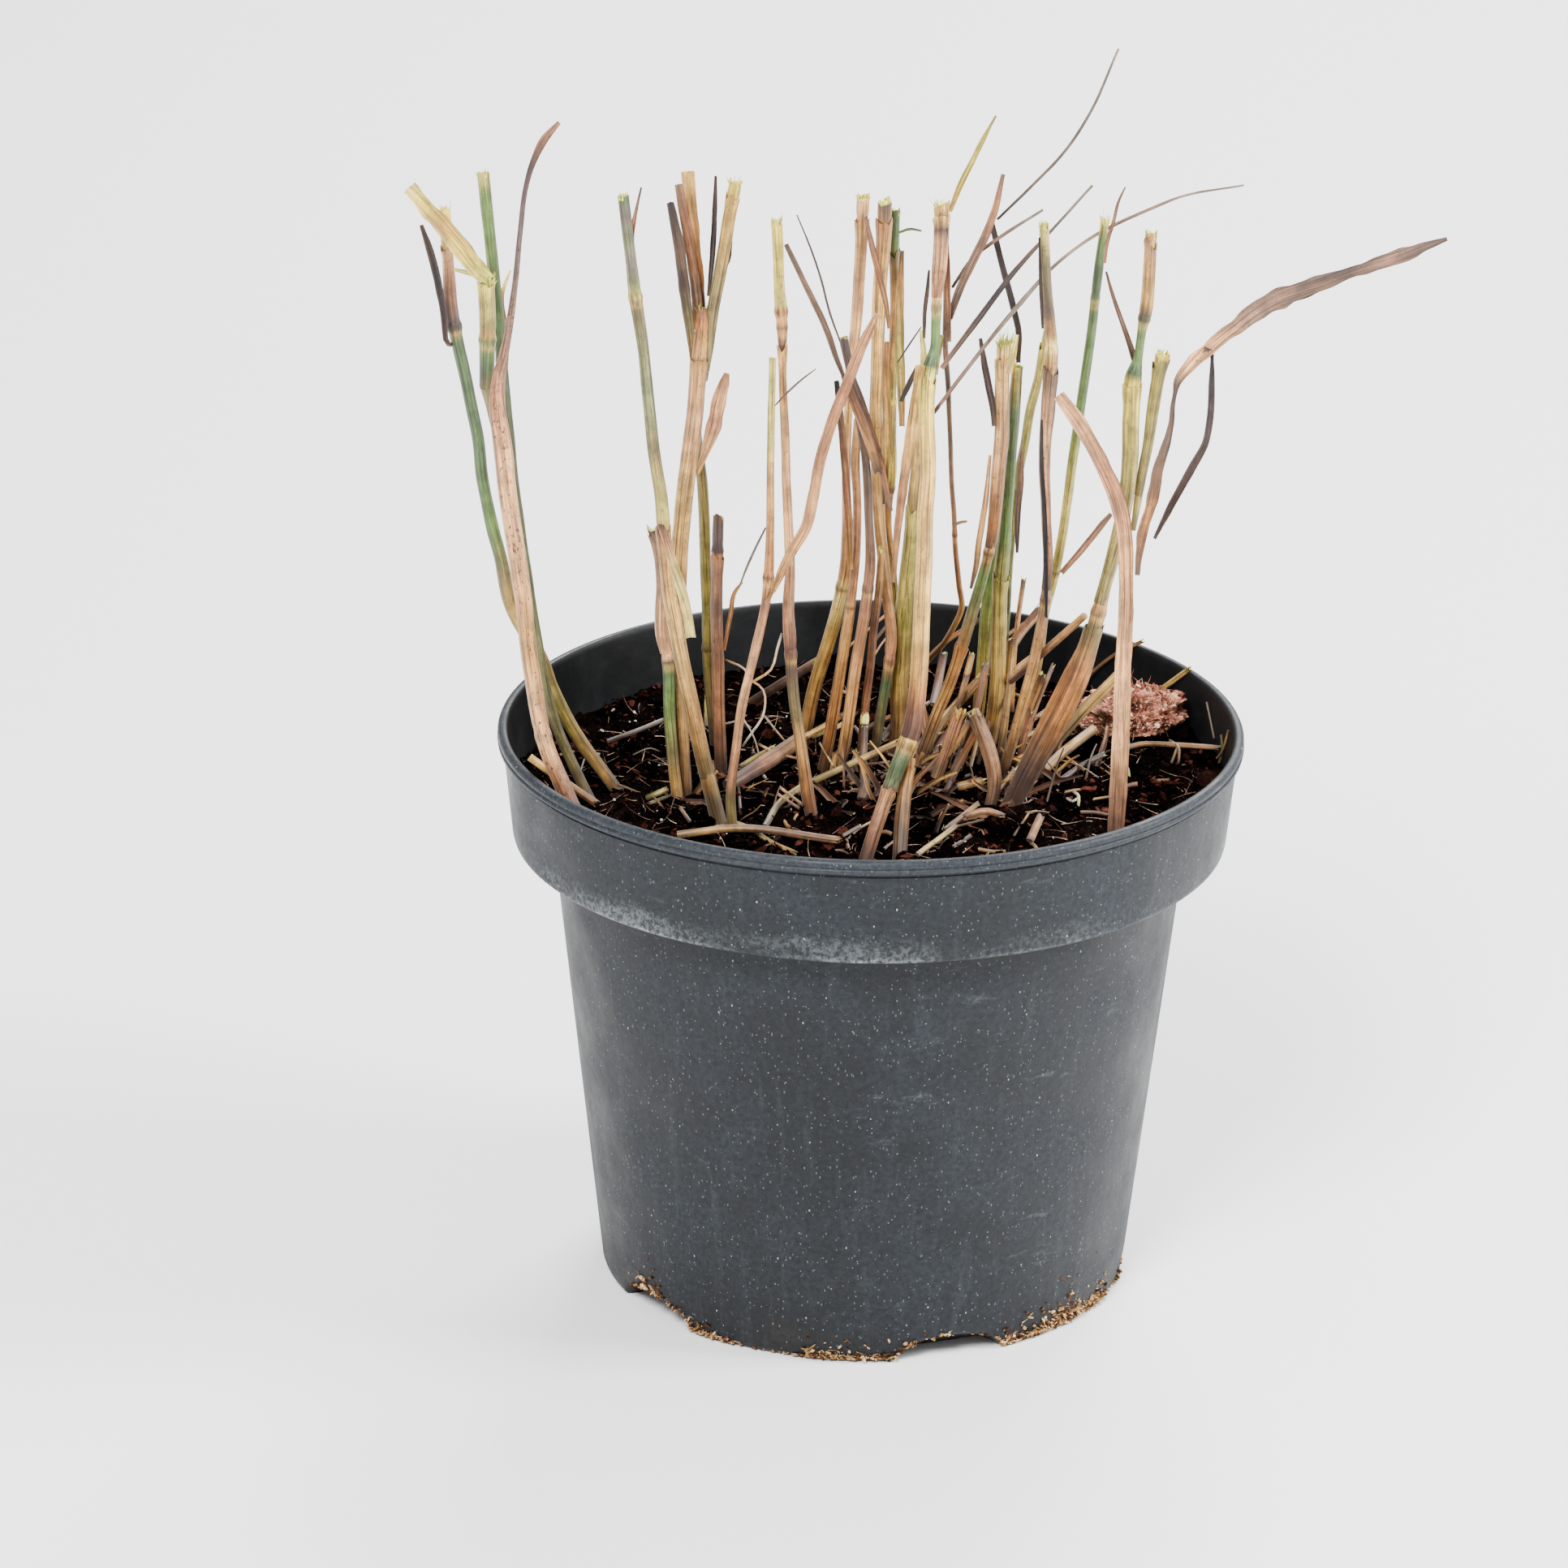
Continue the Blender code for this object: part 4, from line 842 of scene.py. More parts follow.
def make_lump():
    """The torn lump of fibrous peat: a ragged ball on the root ball, with granules and fibres on it.

    The ball's radius is 1.16 plus a wave across it times a wave along it, plus a slanting wave and fine noise,
    less 0.34 of the clods' noise. Times 15 mm, 9.5 mm and 7.2 mm it gives the place across, along and up, cut
    off flat at 0.62 of the height below the middle.
    """
    surface = Surface()
    points, faces = ball(5)
    px, py, pz = points.T
    clods = np.abs(layered_noise(points, 0.30, 4, 51))
    rough = (1.16 + 0.10 * np.sin(7 * px + 3) * np.cos(6 * py) + 0.08 * np.sin(9 * pz + 4 * px) - 0.34 * clods
             + 0.05 * lattice_noise(points, 0.05, 58))
    x = 82 * MM + 15 * MM * px * rough
    y = 44 * MM + 9.5 * MM * py * rough
    place = vectors(x, y, peat_height(x, y) + 0.6 * MM + 7.2 * MM * np.clip((pz + 0.62) * rough, 0, None))
    warm = np.clip(0.45 + layered_noise(place, 5 * MM, 4, 52), 0, 1)
    pale = np.clip(0.5 * lattice_noise(place, 3 * MM, 55) + 0.1, 0, 1) * steps(84 * MM, 72 * MM, x)
    tint = blended(blended(shade("#935444"), "#d99a80", warm), "#bda488", pale)
    # Darker by up to 70 % where the clods dent the ball: painted shade in the lump's hollows
    surface.put(place, [faces], tint * (1 - 0.7 * steps(0.10, 0.5, clods))[:, None])
    rng = np.random.default_rng(12)
    able = np.flatnonzero((place[:, 2] > 162.5 * MM) & (np.hypot(x, y) < 103 * MM))
    colours = shades("#e9b79b #bf7c64 #eccbab #8a5040 #d48f76")
    granules, threads = 900, 700
    chosen = able[rng.integers(0, len(able), granules)]
    sizes = rng.uniform(0.4, 1.7, granules) * MM
    tints = colours[rng.integers(0, len(colours), granules)] * rng.uniform(0.7, 1.1, (granules, 1))
    crumbs(surface, place[chosen] + points[chosen] * 0.15 * MM, sizes, tints, 14, 1.8, flatness=1.0)
    chosen = able[rng.integers(0, len(able), threads)]
    way = unit(points[chosen] + rng.normal(0, 0.9, (threads, 3)))
    lengths = rng.uniform(0.6, 2.5, threads) * MM
    radius = rng.uniform(0.07, 0.18, threads) * MM
    tints = colours[rng.integers(0, len(colours), threads)]
    fibres(surface, place[chosen], way, lengths, radius, tints, 0.7, 13)
    return surface.finish("torn_fibrous_peat_lump", PEAT, 60)


def stalk(tip, route, look, first=None, joints=(), sheaths=(), top="cut", fray=0, fray_length=1.6,
          speck=0.35):
    """A form of the table: a function that adds a stalk, its sheaths and frayed pith, and its material."""
    def grow(surface, seed):
        line = strand_line(route, tip, first, tremble=0.2 * MM, seed=seed)
        culm(surface, line, look, speck, seed, joints, top, wrapped=[s[:2] for s in sheaths])
        for k, (start, end, open_at, sheath_look) in enumerate(sheaths):
            sheath(surface, line, start, end, open_at, sheath_look, speck, seed + 31 * k)
        if fray:
            frayed_top(surface, line, fray, fray_length, seed)
    return grow, CULM_SKIN


def leaf(tip, route, look, first=None, fold=0.8, thick=0.22, ragged=0.06, speck=0.35):
    """A form of the table: a function that adds the leaf's blade to a surface, and its material."""
    def grow(surface, seed):
        blade(surface, strand_line(route, tip, first, flat=True), look, speck, seed, fold, ragged, thick)
    return grow, LEAF_SKIN


# The strands, each under the CAD node that it stands for: its main form, then the forms that grow on it.
# A form has its tip's depth, its route of (across, up, width, depth) in millimetres and its look. `first` is
# the first point's depth, where the strand isn't rooted. A joint is (share, swelling, shade), and a sheath
# is (share where it starts, share where it ends, angle of its free edge, look).
STRANDS = {
    "speckled_sheath_culm": [
        stalk(-20, [(-89, -32, 5), (-94.5, -20, 5.2), (-100, -7, 5), (-103, 6, 5), (-105, 20, 5),
            (-107, 38, 5.2), (-109, 51, 5.4), (-111.5, 68, 5.6), (-113.5, 85, 5.6), (-115, 98, 5, 4),
            (-114.7, 106, 4, 2.5), (-113, 114, 2.8, 1.4), (-111.4, 122, 2.3, 0.9), (-109.8, 134, 1.8, 0.6),
            (-108, 151, 1.6, 0.5), (-106, 166, 1.5, 0.5), (-104, 173, 1.8, 0.5), (-100.7, 180, 2.7, 0.5),
            (-96, 185.5, 1.2, 0.4)], "brown, 8 pink, 16 light_pink, 30 tan, 42 light_pink, 55 light_pink, "
            "62 pink, 70 grey_pink, 85 purple_grey, 93 maroon, pink", joints=[(0.165, 0.08, "brown")],
            top="point", speck=1)],
    "broken_cream_culm": [
        stalk(-22.5, [(-118.5, 104, 4.4), (-118.2, 112, 4.6), (-118, 119, 5), (-118, 126, 5),
            (-118.5, 136, 5.2)], "olive, 20 deep_green, 42 green, 47 light_olive, 52 gold, "
            "60 yellow_olive, 80 light_olive, yellow_cream", first=-23.5,
            joints=[(0.46, 0.14, "deep_green")], top="torn", fray=34, fray_length=3, speck=0.6),
        leaf(-20, [(-117.5, 137, 3), (-121.5, 140.5, 6), (-127, 147.5, 5.4), (-134, 156, 5),
            (-142.3, 165.5, 4.2)], "pith, 20 yellow_cream, 60 gold, 85 yellow_cream, cream", first=-22.8,
            fold=0.55, thick=1.1, ragged=0.16),
        leaf(-24, [(-117, 136, 2), (-122, 138.5, 1.8), (-128.5, 140.3, 0.8)], "cream, pith", first=-23,
            fold=0.3),
        stalk(-23.4, [(-114.8, 90, 3), (-116.5, 97, 3.8), (-118.4, 104.5, 4.3)], "olive, olive",
            first=-19.5, top="point")],
    "green_stub_culm": [
        stalk(-5, [(-86, -24, 3.3), (-92, -12, 3.3), (-97, 0, 3.3), (-100.5, 13, 3.3), (-103.5, 30, 3.3),
            (-107, 52, 3.3), (-110.5, 80, 3.3), (-113, 105, 3.4), (-114.5, 123, 3.6), (-116.7, 143, 3.6),
            (-119.5, 170, 3.6)], "olive, 50 grey_green, 75 deep_green, 90 green, 97 green, light_olive",
            joints=[(0.72, 0.14, "olive")], fray=16, speck=0.5),
        leaf(-6, [(-112.3, 108, 1), (-112.2, 120, 1.6), (-113.5, 133, 1.4), (-111, 140, 0.6)], "pink, "
            "60 light_tan, cream", first=-7.5, fold=0.5)],
    "long_left_culm": [
        stalk(10, [(-79, -19, 3.8), (-83.5, -13, 4), (-88.5, -6.5, 4.2), (-93.5, 1.5, 4.2),
            (-98.2, 11, 4.2), (-102, 21, 4.2), (-106.5, 28.5, 4.2), (-110.5, 36, 4), (-114.5, 53, 4),
            (-119, 73, 3.8), (-122, 93, 3.8), (-125, 108, 3.8), (-128, 121, 3.8), (-128.8, 125, 4.6),
            (-130, 139, 3.8), (-131, 159, 3.2)], "brown, 6 gold, 20 yellow_olive, 32 gold, 42 olive, "
            "50 green, 60 deep_green, 80 deep_green, 82 dark, 84 grey_pink, 87 pink, 92 tan, "
            "97 light_olive, yellow_cream", joints=[(0.29, 0.12, "brown"), (0.815, 0.2, "dark")],
            sheaths=[(0.825, 0.94, 70, "purple_grey, 50 pink, light_pink")], fray=12, speck=0.5)],
    "left_folded_leaf": [
        leaf(2, [(-131, 118.5, 1.6), (-131.7, 127, 2), (-133.3, 136, 2.4), (-135.8, 146, 2.4),
            (-138.5, 154, 1.2)], "maroon, 50 dark, dull_brown", first=3.5, fold=1.1),
        leaf(3.4, [(-128.4, 117.6, 1.2), (-129.8, 117.2, 1.6), (-131, 118.9, 1.6)], "grey_pink, maroon",
            first=7)],
    "grey_green_culm": [
        stalk(-15, [(-47, -29, 4.8), (-50, -17, 5), (-52.5, -6, 5), (-55, 5, 5), (-57.5, 17, 4.9),
            (-59.8, 28, 4.8), (-61.8, 39, 4.6), (-63.2, 54, 4.4), (-64.5, 68, 4.1), (-66.5, 83, 3.8),
            (-68.2, 98, 3.6), (-71, 123, 3.6), (-72.5, 133, 4), (-73.7, 143, 3.5), (-76.2, 163, 3.4)],
            "olive, 6 olive, 12 tan, 25 light_tan, 42 tan, 52 light_olive, 60 olive, 70 grey_green, "
            "83 olive, 85 light_olive, 87 grey_green, 90 grey, 93 grey_green, 97 purple_grey, deep_green",
            joints=[(0.845, 0.14, "cream")], sheaths=[(0.1, 0.49, 75, "olive, 20 tan, 60 light_tan, tan")],
            fray=16, speck=0.5),
        leaf(-14, [(-73.3, 146, 1), (-73.8, 151, 2.2), (-72.8, 156, 1.2), (-70.7, 165.5, 0.5)],
            "dull_brown, 30 pink, purple_grey", first=-15.5, fold=0.7)],
    "torn_sheath_culm": [
        stalk(-6, [(-59.5, -23, 3.6), (-60.8, -13, 3.6), (-62, 0, 3.6), (-62.8, 22, 3.6), (-64, 28, 4.6),
            (-64.3, 35, 4.6), (-64.3, 42, 3.6), (-65.3, 52, 3), (-67.3, 61, 3.4, 1.5)], "brown, 12 gold, "
            "20 olive, 40 green, 53 deep_green, 56 light_pink, 70 light_pink, 85 maroon, dull_brown",
            joints=[(0.54, 0.08, "maroon")], sheaths=[(0.57, 0.97, 110, "light_pink, brown")], top="torn")],
    "cream_sheath_strip": [
        leaf(-31, [(-64.8, 61.5, 2), (-62.3, 54, 2.8), (-60.5, 48, 3), (-58, 40.5, 3), (-56.3, 33, 3),
            (-55.5, 27, 3)], "dull_brown, 15 pink, 50 cream, cream", first=-27.5, fold=0.7),
        leaf(-27.6, [(-63.9, 56.5, 1.6), (-64.9, 59.5, 2), (-64.6, 61.8, 1.8)], "tan, dull_brown",
            first=-25.2)],
    "forked_culm": [
        stalk(5, [(-57.7, -20.5, 5), (-58.5, -2, 5), (-59.5, 16, 5), (-59.8, 30, 5.1), (-59.3, 42, 5.3),
            (-57.5, 68, 5.4), (-55.7, 83, 5.4), (-54, 98, 5.2), (-52.7, 113, 5), (-52.2, 121, 4.6),
            (-51.8, 128, 4, 3)], "brown, 10 tan, 30 olive, 50 tan, 86 light_tan, 92 tan, 97 orange_tan, "
            "red_brown", joints=[(0.3, 0.08, "brown"), (0.9, 0.05, "brown")], sheaths=[(0.31, 0.9, 55,
            "olive, 20 tan, 50 light_tan, 80 light_pink, tan")], top="torn", fray=10, speck=0.5),
        leaf(13.5, [(-52.6, 120, 3), (-53.6, 131, 3.2), (-55.5, 145, 3), (-57.5, 156, 2.8),
            (-59.2, 166.5, 2.4)], "orange_tan, 30 brown, 60 pink, grey_pink", first=4.5, fold=0.7,
            thick=0.5),
        leaf(15, [(-52, 121, 3), (-52.8, 131, 3.6), (-54.2, 146, 3.8), (-55.3, 158, 3.8),
            (-56.4, 170.5, 4)], "red_brown, 20 maroon, 40 orange_tan, 80 tan, light_tan", first=6, fold=0.6,
            thick=0.6, ragged=0.1),
        leaf(12, [(-50, 132, 1), (-48.7, 146, 1.8), (-48.1, 158, 1.6), (-47.8, 169, 0.8)], "dull_brown, "
            "50 dark, maroon", first=6, fold=0.8)],
    "fork_side_leaf": [
        leaf(4, [(-54.9, 112, 1.4), (-55.6, 121, 2.6), (-57, 131, 3.4), (-59.2, 148, 3.4),
            (-61.8, 161, 2.2)], "tan, 20 olive, 50 dull_brown, 70 brown, dark", first=5, fold=0.9)],
    "olive_branch_culm": [
        stalk(8, [(-51, 106, 1.6), (-49.8, 117, 3.2), (-48.8, 127, 3.8), (-46.8, 138, 4), (-44.5, 151, 4.2),
            (-41.7, 167, 3.8)], "olive, 20 light_olive, 50 olive, 80 gold, yellow_cream", first=4.5,
            sheaths=[(0.05, 0.93, 145, "olive, 50 olive, gold")], top="torn", fray=14, fray_length=2.2,
            speck=0.5),
        leaf(9, [(-46, 139, 1), (-44.2, 143, 2), (-43, 149, 0.8)], "dull_brown, pink", first=7.5,
            fold=0.6)],
    "pink_sheath_flake": [
        leaf(0, [(-53.4, 77.5, 1.2), (-51.6, 82.5, 2.2), (-50, 86.5, 3.4), (-48.3, 92, 4.6),
            (-46.9, 99, 4.6), (-45.3, 104.5, 3.6), (-44.3, 108.3, 1.2)], "tan, 30 light_pink, 50 pink, "
            "80 light_pink, pink", first=1.2, fold=0.35, ragged=0.14)],
    "olive_back_culm": [
        stalk(16, [(-48, -6, 3.2), (-49, 5, 3.4), (-50, 20, 3.5), (-50.7, 38, 3.5), (-51.7, 68, 3.5),
            (-53.5, 90, 3)], "brown, 15 olive, 60 yellow_olive, olive",
            joints=[(0.35, 0.14, "dull_brown")])],
    "reddish_culm": [
        stalk(12, [(-46, -15, 3.8), (-46.3, -6, 4), (-46.8, 9, 4.1), (-47.5, 38, 3.9), (-47, 64, 3.4)],
            "dull_brown, 20 grey_pink, 60 pink, 86 pink, 88 maroon, 93 purple_grey, dull_brown",
            joints=[(0.875, 0.12, "maroon")], sheaths=[(0.06, 0.86, 100, "dull_brown, 30 pink, "
            "80 grey_pink, pink")], top="torn", speck=0.5),
        leaf(10, [(-45.2, 23, 1), (-43.2, 34, 1.5), (-41.8, 41, 1.4), (-39.5, 44, 0.6)], "pink, tan",
            first=11, fold=0.7)],
    "cream_culm": [
        stalk(-10, [(-18.2, -28, 3.6), (-19.5, -20, 4), (-21, -11, 3.6), (-22.5, 0, 3.4), (-24.6, 20, 3.4),
            (-24.8, 27, 4.2), (-25.2, 34, 3.8), (-24.8, 48, 3.2), (-25.3, 63, 3.1), (-26.5, 93, 2.7),
            (-27.2, 112, 2.4), (-27.4, 124, 3.2), (-27.6, 128, 4), (-28, 133, 3.2), (-29, 155, 3.4)],
            "red_brown, 6 orange_tan, 14 tan, 20 olive, 28 dull_brown, 33 red_brown, 37 pink, "
            "50 light_pink, 70 tan, 80 brown, 83.5 orange_tan, 85.5 tan, 87 light_olive, 93 yellow_cream, "
            "yellow_cream", joints=[(0.3, 0.12, "red_brown"), (0.83, 0.12, "brown"),
            (0.855, 0.14, "orange_tan")], sheaths=[(0.31, 0.8, 110, "red_brown, 10 pink, 40 light_pink, "
            "tan")], top="torn", fray=18, fray_length=2.2, speck=0.5)],
    "thin_grey_culm": [
        stalk(-22, [(-42.5, -31, 3), (-43.2, -22, 3), (-42.5, -13, 2.8), (-41, -3, 2.8), (-39.3, 7, 2.8),
            (-37, 17, 2.8), (-34.5, 28, 2.8), (-32.4, 38, 2.8), (-31.5, 47, 3.2), (-31, 56, 2.5),
            (-30.8, 83, 2.2), (-30, 113, 2.1)], "olive, 5 yellow_olive, 10 olive, 13 pink, 30 light_pink, "
            "50 pink, 57 orange_tan, 75 tan, 85 light_olive, light_olive",
            joints=[(0.555, 0.18, "dull_brown")], speck=0.5),
        leaf(-18, [(-40.7, 42, 0.5), (-38, 49, 0.8), (-35, 55.5, 0.8), (-32.4, 60.7, 0.5)], "grey, "
            "purple_grey", first=-21, fold=0.8),
        leaf(-12, [(-29.8, 98, 0.4), (-26, 102, 0.7), (-21, 106.5, 0.6), (-17, 109.5, 0.3)], "grey_pink, "
            "purple_grey", first=-20, fold=0.8)],
    "pink_folded_leaf": [
        leaf(-20, [(-30.2, 41, 1.5), (-27.5, 47, 2.6), (-24.5, 53, 3.2), (-20, 61, 3.4), (-17.6, 71, 3.4),
            (-15.7, 81, 3.4), (-12.7, 91, 3.4), (-7.5, 104.5, 3.4), (-1.7, 119, 3.2), (1.9, 126.5, 1.6)],
            "tan, 30 light_pink, 70 pink, light_pink", first=-31.5, fold=0.95),
        leaf(-31.4, [(-32.3, 37, 1.6), (-31.4, 39.2, 1.8), (-30.1, 42, 1.6)], "tan, tan", first=-29)],
    "thin_brown_leaf": [
        leaf(-20, [(-8.5, 107.5, 1.2), (-10.7, 113, 1.7), (-13, 120, 2), (-20.7, 136.5, 1.8),
            (-26.2, 148, 1.4)], "brown, 50 grey_pink, brown", first=-20, fold=1),
        leaf(-22, [(-9.5, 118, 0.5), (-12.7, 127, 0.7), (-15.3, 137, 0.7), (-18.3, 146, 0.6),
            (-22.8, 157, 0.4)], "dull_brown, purple_grey", first=-21, fold=0.8),
        leaf(-2.4, [(-8.7, 108, 1.4), (-6.5, 103, 2.6), (-3.5, 95, 2.9), (-0.5, 87, 2.9), (2, 78, 2.2)],
            "brown, 40 pink, 80 tan, brown", first=-20, fold=0.9, thick=0.4),
        leaf(2, [(-8.8, 119, 1), (-6.8, 110, 2), (-2.8, 99, 2.3), (2, 84, 2.3), (6.2, 66, 1.2)],
            "purple_grey, 40 grey_pink, 80 pink, brown", first=-12, fold=0.8, thick=0.4)],
    "bending_tan_culm": [
        stalk(6, [(-21.5, -9, 3.6), (-20.2, -2, 4), (-18.5, 6, 4.2), (-16, 16, 4.3), (-13, 26, 4.3),
            (-10, 37, 4.2), (-7.8, 47, 4.4), (-7, 58, 3.8), (-7.3, 68, 2.8), (-7.6, 83, 2.6),
            (-6.9, 98, 2.8), (-5.9, 111, 3.2), (-4.5, 124, 3.6), (-2.2, 162, 4)], "brown, 10 tan, 25 gold, "
            "32 cream, 36 tan, 50 pink, 75 light_tan, light_pink", joints=[(0.335, 0.14, "dark")],
            sheaths=[(0.62, 0.97, 80, "light_tan, 60 light_pink, tan")], top="torn", fray=10)],
    "tan_culm_behind": [
        stalk(6, [(-15, -14, 3.4), (-12.5, -2, 3.8), (-10.7, 8, 3.8), (-7.7, 28, 3.4), (-4.8, 48, 2.8),
            (-4.3, 70, 2.6), (-4.8, 80, 2.8), (-4.2, 94, 2.4)], "brown, 15 orange_tan, 40 tan, 70 pink, "
            "tan", joints=[(0.5, 0.1, "brown")]),
        leaf(2, [(-6.2, 48, 1.4), (-7, 66, 2.2), (-8.3, 83, 2.3), (-9.6, 97, 2), (-10.6, 106, 1.5)],
            "tan, 40 pink, 80 brown, 88 black, black", first=3, fold=0.9, thick=0.4)],
    "slim_brown_culm": [
        stalk(-6, [(-10.5, -16, 3.4), (-7.4, -2, 3.8), (-4.5, 18, 3.8), (-1.4, 38, 3.6), (-0.4, 48, 3.4),
            (-0.6, 60, 2.8), (-1.9, 83, 2.6), (-3.4, 93, 2.6), (-5.3, 103, 2.6), (-7, 112, 2.6),
            (-8.3, 119, 2.8)], "brown, 15 tan, 40 pink, 60 brown, 85 dull_brown, purple_grey",
            joints=[(0.46, 0.1, "brown")])],
    "short_pink_stem": [
        stalk(4, [(-3.2, -13, 2.6), (-1.9, 4, 2.6), (0.4, 24, 2.6), (2.6, 44, 2.6), (3.3, 54, 2.4)],
            "brown, 30 pink, 70 grey_pink, tan", top="torn")],
    "olive_tan_culm": [
        stalk(2, [(0.5, -12, 2.8), (2.6, 0, 3.2), (5.8, 19, 3.4), (6.4, 24, 3.8), (4.6, 44, 3.6),
            (2.4, 66, 3.8), (1.8, 93, 4), (2.3, 121, 4.2), (3.8, 148, 4.6), (4.3, 161, 4.4)], "brown, "
            "8 olive, 18 deep_green, 22 pink, 50 tan, 70 orange_tan, 90 tan, brown",
            joints=[(0.215, 0.14, "dull_brown")], sheaths=[(0.23, 0.62, 125, "pink, light_tan"),
            (0.6, 0.97, 70, "light_tan, 70 light_tan, orange_tan")], top="torn", fray=16)],
    "right_bunch_culm": [
        stalk(8, [(7, -4, 2.4), (8, 5, 2.4), (8.5, 25, 2.4), (7, 45, 2.4), (5, 66, 2.6), (6.2, 77, 3.5),
            (6.3, 93, 3.4), (6.3, 103, 3.3), (7.5, 123, 3.6), (7.3, 148, 3.3), (7.6, 158, 3)], "brown, "
            "20 green, 45 tan, 50 brown, 53 yellow_cream, 58 light_olive, 70 light_olive, 80 tan, "
            "90 olive, 95 green, deep_green", joints=[(0.5, 0.2, "dull_brown"), (0.66, 0.12, "pith")],
            sheaths=[(0.67, 0.93, 105, "light_olive, 50 tan, olive")], top="torn", fray=14, speck=0.5),
        leaf(4, [(8.7, 151.5, 0.7), (12, 152.6, 1), (15.6, 152, 0.5)], "green, deep_green", first=6,
            fold=0.7),
        leaf(0, [(5.6, 122, 1), (4.6, 130, 1.7), (2.6, 138, 1.9), (0.2, 148, 1.8), (-1.6, 156.5, 1)],
            "tan, 50 pink, grey_pink", first=1.5, fold=0.8),
        leaf(5.5, [(9.6, 92, 1.6), (9.3, 104, 2.6), (8.8, 118, 3), (9, 134, 2.4), (9.6, 146, 1.2)], "tan, "
            "40 light_olive, 80 tan, brown", first=4, fold=0.7, thick=0.5),
        leaf(3, [(4.2, 68, 1.2), (4.5, 80, 2.4), (4.9, 92, 2.6), (4.6, 106, 2.4), (4.9, 118, 1.4)],
            "brown, 40 light_tan, 80 tan, orange_tan", first=3, fold=0.8, thick=0.4)],
    "wide_olive_sheath": [
        stalk(4, [(7.5, -9, 5), (8.6, 3, 5.5), (9, 14, 6.2), (9.7, 24, 7), (10.3, 34, 6.6), (11.2, 44, 5.2),
            (13.5, 73, 3.8), (16, 103, 2.6)], "brown, 20 tan, 35 yellow_olive, 60 olive, light_tan",
            sheaths=[(0.1, 0.7, 130, "tan, 50 yellow_olive, light_olive")], top="torn")],
    "central_culm": [
        stalk(-12, [(-1, -40, 4.3), (2, -31, 4.4), (5, -22, 4.4), (8.3, -13, 4.8), (11.3, -6, 5.6),
            (13.2, 0, 6), (14.2, 8, 5.6), (15.8, 40, 5.2), (17.5, 76, 4.9), (18.5, 111, 4.6),
            (19.6, 115.5, 2.9), (20, 123, 2.9), (20.4, 132, 3.2), (21, 138, 4.6), (22, 160, 4.9)], "pink, "
            "13 pink, 14 grey_green, 16.5 deep_green, 19 grey_green, 20 olive, 20.7 yellow_cream, "
            "22.5 orange_tan, 24 red_brown, 27 gold, 45 light_tan, 60 tan, 74 cream, 75.5 pith, "
            "76.5 deep_green, 84 green, 87 light_tan, 89 pink, 94 pink, 97 red_brown, light_tan",
            joints=[(0.135, 0.05, "brown"), (0.205, 0.1, "orange_tan"), (0.85, 0.12, "brown")],
            sheaths=[(0.215, 0.745, 68, "red_brown, 5 red_brown, 12 orange_tan, 25 gold, 45 light_tan, "
            "70 light_tan, yellow_cream"), (0.02, 0.13, 110, "brown, 30 pink, light_pink"),
            (0.865, 0.985, 80, "pink, 60 light_pink, 85 maroon, light_tan")], top="torn", fray=26,
            fray_length=2.4, speck=0.5),
        leaf(-8, [(24.3, 158, 1.2), (27.5, 166, 2), (31, 173, 1.8), (35, 181, 1.4), (38.5, 187.5, 0.5)],
            "gold, 40 yellow_cream, yellow_olive", first=-12.5, fold=0.7, ragged=0.12),
        leaf(-14.5, [(24, 118, 1.4), (23.6, 130, 2), (23.2, 142, 2.2), (22.8, 153, 1.6)], "grey_pink, "
            "50 pink, brown", first=-13.5, fold=0.9, thick=0.4),
        leaf(-14, [(16.4, 119, 0.8), (16.6, 127, 1.3), (17.4, 134, 1.3), (17.9, 140, 0.6)], "brown, maroon",
            first=-15, fold=0.8),
        leaf(-9, [(16.3, 108, 2.4), (16.2, 115, 2), (15.4, 121.5, 0.9)], "gold, pith", first=-14.5,
            fold=0.3),
        leaf(-15, [(19.3, 108, 2.6), (20.8, 115, 2), (22, 120, 0.9)], "cream, pith", first=-15, fold=0.3)],
    "central_culm_leg": [
        stalk(-46, [(9, -39.5, 4.6), (9.8, -28, 4.6), (10.6, -18, 4.4), (11.6, -11, 4)], "brown, "
            "30 orange_tan, tan", sheaths=[(0.1, 0.95, 60, "brown, tan")], top="torn")],
    "pinkish_strand": [
        leaf(-14, [(15.4, 111, 2.8), (13, 94, 3.4), (10.3, 76, 3), (8, 58, 2.2), (6.9, 44, 1.4)], "gold, "
            "30 light_tan, 60 pink, tan", first=-25.8, fold=0.8)],
    "thin_dark_stem": [
        stalk(-10, [(9, 4, 1.4), (13, 12, 1.5), (18, 20, 1.6), (22.5, 25, 1.7), (25.5, 30, 1.8),
            (28, 36, 1.9), (27.2, 43, 1.8), (25.4, 66, 1.6), (24.1, 96, 1.5), (22.9, 121, 1.8),
            (23.2, 134, 2)], "grey_pink, 30 tan, 42 pink, 60 grey_pink, 80 brown, grey_pink",
            joints=[(0.47, 0.2, "dull_brown")], top="point"),
        leaf(-9, [(25.5, 61.5, 0.8), (27.5, 62.3, 1.2), (29.6, 62.6, 0.6)], "brown, tan", first=-10.5,
            fold=0.6)],
    "bent_tan_stub": [
        stalk(6, [(19.2, -19, 3.6), (21.7, -13, 3.8), (24.7, -4, 4), (27.5, 4.5, 3.8)], "brown, 50 tan, "
            "gold", sheaths=[(0.2, 0.95, 80, "tan, pink")], top="torn")],
    "bent_pink_stub": [
        stalk(-8, [(36.5, -25, 3), (38.2, -17, 4.4), (37.2, -10.5, 5), (34.7, -3, 4.8), (31.8, 3.5, 4)],
